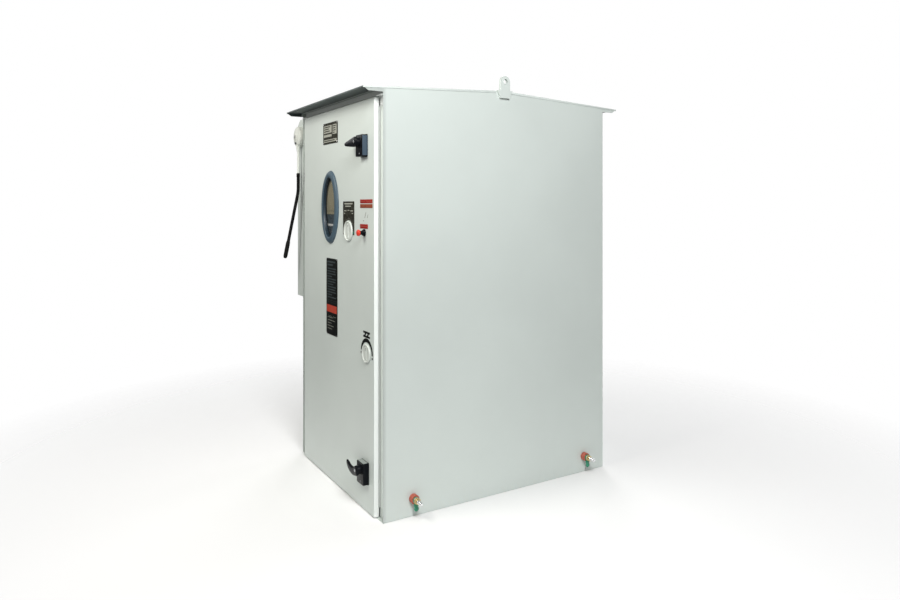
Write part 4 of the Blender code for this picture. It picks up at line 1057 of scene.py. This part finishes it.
def push_button():
    lo, hi = BOX["push_button_collar"]
    x, z = centre_of("push_button_collar")
    r = (hi.x - lo.x) / 2
    collar = [
        (0, 0.008), (0, 0.0086), (0.0006, 0.0094), (0.002, 0.01), (0.0047, 0.0104), (0.005, r - 0.0006),
        (0.0053, r), (0.0076, r), (0.0076, 0.008), (0, 0.008),
    ]
    shells = [lathe_mesh(collar, "y", (x, lo.y, z), 72)]
    for i in range(24):
        a = 2 * pi * i / 24
        rib = [(x + 0.0098 * cos(a + d), z + 0.0098 * sin(a + d)) for d in (-0.05, 0.05)]
        rib += [(x + 0.0106 * cos(a + d), z + 0.0106 * sin(a + d)) for d in (0.03, -0.03)]
        shells.append(prism_mesh(rib, "y", lo.y + 0.0022, lo.y + 0.0048))
    body = [(0.0076, 0.008), (0.0076, 0.0103), (0.04, 0.0103), (0.04, 0.008), (0.0076, 0.008)]
    shells.append(lathe_mesh(body, "y", (x, lo.y, z), 48))
    piece("push_button_collar_ring", merge(shells), black, "door", replaces=("push_button_collar",))

    front = BOX["push_button_head"][0].y
    head = [
        (0, 0), (0.0002, 0.005), (0.001, 0.0085), (0.0024, 0.0103), (0.0042, 0.011), (0.008, 0.011),
        (0.009, 0.0104), (0.0092, 0.0072), (0.0092, 0),
    ]
    piece("push_button_dome", lathe_mesh(head, "y", (x, front, z), 72), red, "push_button",
          replaces=("push_button_head",))
    neck = [(0.0088, 0), (0.0088, 0.007), (0.045, 0.007), (0.045, 0)]
    piece("push_button_neck", lathe_mesh(neck, "y", (x, front, z), 48), black, "push_button")


# Each latch handle, from the round end behind its hub to its tip: distance from the pivot towards -X, lower
# edge, upper edge and half the thickness.
LATCH_HORNS = {
    "top": (
        (-0.0148, -0.0045, 0.0055, 0.0014), (-0.0136, -0.0088, 0.01, 0.0036),
        (-0.01, -0.0136, 0.015, 0.0049),
        (-0.004, -0.0163, 0.018, 0.0053), (0.004, -0.0169, 0.0186, 0.0054),
        (0.016, -0.0162, 0.0166, 0.0054),
        (0.03, -0.015, 0.014, 0.0053), (0.045, -0.0137, 0.011, 0.0052),
        (0.06, -0.012, 0.008, 0.005),
        (0.072, -0.0106, 0.0058, 0.0048), (0.08, -0.0095, 0.0045, 0.0045),
        (0.0842, -0.0081, 0.0029, 0.0038),
        (0.0862, -0.006, 0.0008, 0.0026), (0.0869, -0.0042, -0.0012, 0.0012),
    ),
    "bottom": (
        (-0.0148, -0.006, 0.003, 0.0014), (-0.0136, -0.0106, 0.007, 0.0036),
        (-0.01, -0.016, 0.0104, 0.0049),
        (-0.004, -0.0196, 0.0122, 0.0053), (0.006, -0.0222, 0.0112, 0.0054),
        (0.02, -0.025, 0.0052, 0.0054),
        (0.031, -0.0253, 0.0034, 0.0053), (0.042, -0.024, 0.0034, 0.0052),
        (0.052, -0.0214, 0.0052, 0.005),
        (0.06, -0.018, 0.0078, 0.0049), (0.068, -0.0124, 0.0108, 0.0046),
        (0.074, -0.0072, 0.012, 0.0042),
        (0.0785, -0.0018, 0.012, 0.0032), (0.0808, 0.0028, 0.0108, 0.0018),
    ),
}


def latches():
    for place in ("top", "bottom"):
        lo, hi = BOX[f"{place}_latch_base"]
        x, z = centre_of(f"{place}_latch_base")
        pivot = z + 0.012
        outline = rounded_rectangle((lo.x, lo.z), (hi.x, hi.z), 0.0055, 8)
        block = prism_mesh(outline, "y", lo.y + 0.0008, hi.y, 0.0018, 4)
        pad_ring = [(0, 0.0074), (0, 0.018), (0.0006, 0.019), (0.0014, 0.0195), (0.0014, 0.0074),
                    (0, 0.0074)]
        pad = lathe_mesh(pad_ring, "y", (x, lo.y - 0.0002, pivot), 64)
        rim = 0.0015
        outline = rounded_rectangle((lo.x - rim, lo.z - rim), (hi.x + rim, hi.z + rim), 0.0065, 8)
        foot = prism_mesh(outline, "y", hi.y - 0.003, hi.y, 0.0008)
        block = piece(f"{place}_latch_block", merge([block, pad, foot]), black, "door", sharp=40,
                      replaces=(f"{place}_latch_base",))
        if place == "top":
            # Painted reflection: the top latch's right-hand face is blue-grey.
            paint_faces(block, side_painted_reflection, lambda face: face.normal.x > 0.9)
        else:
            # Painted highlight: the bottom latch's top face is pale.
            paint_faces(block, top_painted_highlight, lambda face: face.normal.z > 0.9 and face.center.z > hi.z - 0.001)
        screw = screw_head((x + 0.004, lo.y + 0.0008, z - 0.0275), "y", 0.0034, -0.001)
        piece(f"{place}_latch_screw", screw, dark_steel, "door")

        hub = [
            (-0.0183, 0), (-0.0183, 0.01), (-0.0175, 0.0122), (-0.0155, 0.014), (-0.007, 0.0147),
            (-0.004, 0.0154), (-0.0012, 0.0155), (-0.0004, 0.0148), (-0.0004, 0.007), (0.076, 0.007),
            (0.078, 0.0058), (0.078, 0),
        ]
        hub_mesh = lathe_mesh(hub, "y", (x, lo.y, pivot), 64)
        horn_y = lo.y - 0.0121
        sections = [
            (x - along, horn_y, pivot + (low + high) / 2, half_y, (high - low) / 2)
            for along, low, high, half_y in LATCH_HORNS[place]
        ]
        piece(f"{place}_latch_handle_moulding", merge([hub_mesh, loft_mesh(sections)]), black,
              f"{place}_latch", sharp=40, replaces=(f"{place}_latch_handle",))
        front = lo.y - 0.0183
        cap = screw_head((x, front, pivot), "y", 0.0046, -0.001)
        piece(f"{place}_latch_pivot_cap", cap, steel, f"{place}_latch")

        softened(f"{place}_latch_cam", zinc, 0.0006)
        cam_hi = BOX[f"{place}_latch_cam"][1]
        nut = prism_mesh(hex_outline(x, pivot, 0.013), "y", cam_hi.y + 0.0004, cam_hi.y + 0.0056, 0.0007)
        piece(f"{place}_latch_cam_nut", nut, bright_zinc, f"{place}_latch")


# Side box and lever


def side_box():
    softened("side_box", paint, 0.0016)
    softened("isolator_switch", dark_plastic, 0.0015)
    face = BOX["side_box"][0].x
    places = [(face, y, z) for y in (-0.445, -0.268) for z in (0.665, 1.01, 1.34)]
    screws("side_box_screws", places, "x", 0.0045, -0.0024, bright_zinc)
    places = [(-0.397, y, z) for y in (-0.44, -0.27) for z in (0.48, 0.6)]
    screws("side_flange_screws", places, "x", 0.0045, -0.0024, bright_zinc)


def lever():
    x, z = -0.451, 1.326
    hub_front = -0.493
    arm_y = -0.4786
    hub = [
        (0, 0), (0, 0.009), (0.001, 0.0112), (0.003, 0.016), (0.0046, 0.03), (0.0052, 0.034),
        (0.0075, 0.039), (0.01, 0.0412), (0.013, 0.042), (0.0285, 0.042), (0.0295, 0.0412),
        (0.0295, 0.009), (0.081, 0.009), (0.081, 0),
    ]
    shells = [lathe_mesh(hub, "y", (x, hub_front, z), 96)]
    arm = smooth_path([(x, arm_y, z - 0.018), (x, arm_y, 1.23), (x, arm_y, 1.131)], 0.01)
    shells.append(tube_mesh(arm, 0.0048, 24))
    neck = [(0, 0), (0, 0.0098), (-0.004, 0.0102), (-0.02, 0.0088), (-0.036, 0.0062), (-0.04, 0.005),
            (-0.04, 0)]
    shells.append(lathe_mesh(neck, "z", (x, arm_y, z - 0.026), 40))
    piece("side_lever_enamel", merge(shells), white_enamel, "lever", replaces=("side_lever",))
    clamp = [
        (0, 0.005), (0, 0.0104), (-0.0008, 0.0112), (-0.0078, 0.0112), (-0.0086, 0.0104), (-0.0086, 0.005),
        (0, 0.005),
    ]
    band = lathe_mesh(clamp, "z", (x, arm_y, 1.302), 40)
    bolt = prism_mesh(hex_outline(x, 1.2977, 0.009), "y", arm_y - 0.015, arm_y - 0.0105, 0.0006)
    piece("side_lever_clamp", merge([band, bolt]), dark_plastic, "lever")
    cap = screw_head((x, hub_front, z), "y", 0.0078, -0.003)
    piece("side_lever_cap", cap, bright_zinc, "lever")

    path = [
        (1.1702, -0.4786, 0.005), (1.1698, -0.4786, 0.0066), (1.167, -0.4786, 0.0074),
        (1.156, -0.4786, 0.0074),
        (1.153, -0.4786, 0.0067), (1.13, -0.4786, 0.0066), (1.106, -0.4787, 0.0066),
        (1.0935, -0.4793, 0.0066),
        (1.08, -0.4812, 0.0066), (1.06, -0.485, 0.0066), (1.0, -0.4975, 0.0066),
        (0.94, -0.5097, 0.0066),
        (0.89, -0.5199, 0.0066), (0.882, -0.5215, 0.0067), (0.878, -0.5224, 0.0077),
        (0.874, -0.5232, 0.0086),
        (0.86, -0.526, 0.0086), (0.84, -0.5301, 0.0087), (0.82, -0.5341, 0.0086),
        (0.814, -0.5353, 0.0074),
        (0.8105, -0.536, 0.006), (0.809, -0.5363, 0.0035),
    ]
    bar = tube_mesh([(x, y, height) for height, y, r in path], [r for height, y, r in path], 24)
    piece("side_lever_black_bar", bar, grip_black, "lever", sharp=50, replaces=("side_lever_grip",))


# Equipment inside


def slotted_duct(node):
    """Wiring duct: a back, a clip-on lid and comb fingers along both sides."""
    lo, hi = BOX[node]
    shells = [
        box_mesh((lo.x, hi.y - 0.002, lo.z), (hi.x, hi.y, hi.z), 0.0004),
        box_mesh((lo.x, lo.y, lo.z), (hi.x, lo.y + 0.0022, hi.z), 0.0008),
    ]
    pitch, width = 0.0125, 0.008
    count = int((hi.x - lo.x) / pitch)
    for wall in ((lo.z + 0.0006, lo.z + 0.0022), (hi.z - 0.0022, hi.z - 0.0006)):
        shells.append(box_mesh((lo.x, hi.y - 0.012, wall[0]), (hi.x, hi.y - 0.0019, wall[1])))
        shells.append(box_mesh((lo.x, lo.y + 0.0021, wall[0]), (hi.x, lo.y + 0.008, wall[1])))
        for i in range(count):
            x = lo.x + 0.002 + i * pitch
            shells.append(box_mesh((x, lo.y + 0.0079, wall[0]), (x + width, hi.y - 0.0119, wall[1])))
    piece(f"{node}_slotted", merge(shells), light_plastic, replaces=(node,))


def devices():
    softened("circuit_breaker", light_plastic, 0.001)
    lo, hi = BOX["circuit_breaker"]
    step_y = hi.y - 0.044
    places = [(lo.x + 0.009 + 0.018 * i, step_y, z) for i in range(3) for z in (lo.z + 0.01, hi.z - 0.01)]
    screws("breaker_screws", places, "y", 0.004, -0.001, brass)
    grooves = []
    for x in (lo.x + 0.018, lo.x + 0.036):
        for low, high in ((lo.z + 0.001, lo.z + 0.02), (hi.z - 0.02, hi.z - 0.001)):
            grooves.append(box_mesh((x - 0.0004, step_y - 0.0004, low), (x + 0.0004, step_y, high)))
    piece("breaker_pole_lines", merge(grooves), black_print)
    bars("breaker_label", [(lo.x + 0.004, hi.x - 0.004, 0.994, 1.0)], lo.y, pale_print, "cabinet",
         "grey_plastic")
    softened("breaker_toggle", black, 0.0008)

    softened("contactor", dark_plastic, 0.0012)
    lo, hi = BOX["contactor"]
    step_y = hi.y - 0.058
    places = [(lo.x + 0.01 + 0.0133 * i, step_y, z) for i in range(4) for z in (lo.z + 0.006, hi.z - 0.006)]
    screws("contactor_screws", places, "y", 0.0042, -0.0012, bright_zinc)
    bars("contactor_label", [(lo.x + 0.012, hi.x - 0.012, 0.97, 0.99)], lo.y, grey_print, "cabinet")

    # Rail-mounted terminals: each is a narrow stepped moulding with two screws.
    lo, hi = BOX["terminal_block"]
    back, front, middle_z = hi.y, lo.y, (lo.z + hi.z) / 2
    step = front + 0.022
    outline = [
        (back, lo.z), (step + 0.004, lo.z), (step, lo.z + 0.004), (step, middle_z - 0.012),
        (front, middle_z - 0.01), (front, middle_z + 0.01), (step, middle_z + 0.012),
        (step, hi.z - 0.004), (step + 0.004, hi.z), (back, hi.z),
    ]
    pitch = 0.01
    count = round((hi.x - lo.x) / pitch)
    groups = {"grey": [], "blue": [], "earth": []}
    heads, marks = [], []
    for i in range(count):
        x = lo.x + i * pitch
        kind = "earth" if i % 14 == 13 else "blue" if i % 14 in (11, 12) else "grey"
        groups[kind].append(prism_mesh(outline, "x", x + 0.0002, x + pitch - 0.0002, 0.0003, 1))
        for z in (lo.z + 0.01, hi.z - 0.01):
            heads.append((x + pitch / 2, step, z))
        marks.append(box_mesh((x + 0.002, front - PROUD, middle_z - 0.003),
                              (x + pitch - 0.002, front, middle_z + 0.003)))
    piece("terminals_grey", merge(groups["grey"]), light_plastic, replaces=("terminal_block",))
    piece("terminals_blue", merge(groups["blue"]), wire_inks["blue"], "cabinet", "grey_plastic")
    piece("terminals_earth", merge(groups["earth"]), wire_inks["earth"], "cabinet", "green_plastic")
    screws("terminal_screws", heads, "y", 0.0026, -0.0006, bright_zinc, "cabinet", 16)
    piece("terminal_tags", merge(marks), pale_print, "cabinet", "white_plastic")


def conductors():
    """Fixed single wires, from the devices into the ducts and down to the terminals."""
    runs = {ink: [] for ink in wire_inks}
    breaker_y, contactor_y = 0.36, 0.35
    inks = ("brown", "black", "grey")
    for i, ink in enumerate(inks):
        x = -0.191 + 0.018 * i
        runs[ink].append(((x, breaker_y, 1.02), (x, breaker_y - 0.006, 1.05), (x, 0.366, 1.12),
                          (x, 0.366, 1.16)))
        x2 = -0.08 + 0.0133 * i
        low = 0.905 - 0.012 * i
        runs[ink].append(((x, breaker_y, 0.94), (x, breaker_y - 0.008, low), (x2, contactor_y, low),
                          (x2, contactor_y, 0.94)))
        runs[ink].append(((x2, contactor_y, 1.02), (x2, contactor_y - 0.004, 1.06), (x2, 0.362, 1.11),
                          (x2, 0.362, 1.16)))
    for i in range(20):
        ink = ("brown", "black", "grey", "blue")[i % 4]
        x = -0.205 + 0.02 * i
        drift = 0.004 * sin(2.1 * i)
        runs[ink].append(((x, 0.372, 0.392), (x, 0.366, 0.37), (x + drift, 0.362, 0.31),
                          (x + drift, 0.368, 0.272)))
    for i in range(8):
        x = -0.17 + 0.045 * i
        runs["earth"].append(((x, 0.386, 0.164), (x, 0.382, 0.185), (x + 0.004, 0.372, 0.205),
                              (x + 0.004, 0.37, 0.228)))
    runs["brown"].append(((0.085, 0.378, 0.56), (0.085, 0.374, 0.52), (0.085, 0.372, 0.48),
                          (0.085, 0.372, 0.447)))
    runs["blue"].append(((0.117, 0.378, 0.56), (0.117, 0.374, 0.52), (0.115, 0.372, 0.48),
                         (0.115, 0.372, 0.447)))
    for ink, paths in runs.items():
        shells = [tube_mesh(smooth_path(path, 0.018), 0.0018, 10) for path in paths]
        piece(f"conductors_{ink}", merge(shells), wire_inks[ink], "cabinet", "rubber", sharp=60)


def interior():
    softened("mounting_plate", bright_zinc, 0.0006)
    for side in ("left", "right"):
        softened(f"{side}_mounting_rail", zinc, 0.0006)
    softened("din_rail", bright_zinc, 0.0003)
    softened("earth_bar", copper, 0.0008)
    softened("heater", bright_zinc, 0.0008)
    slotted_duct("upper_wiring_duct")
    slotted_duct("lower_wiring_duct")
    devices()
    conductors()

    plate_front = BOX["mounting_plate"][0].y
    places = [(x, plate_front, z) for x in (-0.295, 0.295) for z in (0.135, 0.5, 0.88, 1.275)]
    screws("mounting_plate_bolts", places, "y", 0.0075, -0.0045, bright_zinc)
    bar = BOX["earth_bar"][0]
    places = [(-0.185 + 0.0285 * i, bar.y, bar.z + 0.0125) for i in range(14)]
    screws("earth_bar_screws", places, "y", 0.0052, -0.0032, brass)
    places = [(x, 0.3985, 0.98) for x in (-0.235, 0.03, 0.235)]
    screws("din_rail_screws", places, "y", 0.0036, -0.0016, bright_zinc)


studio()
shell()
lifting_lugs()
earth_terminals()
door_shell()
window()
plates()
dials()
push_button()
latches()
side_box()
lever()
interior()
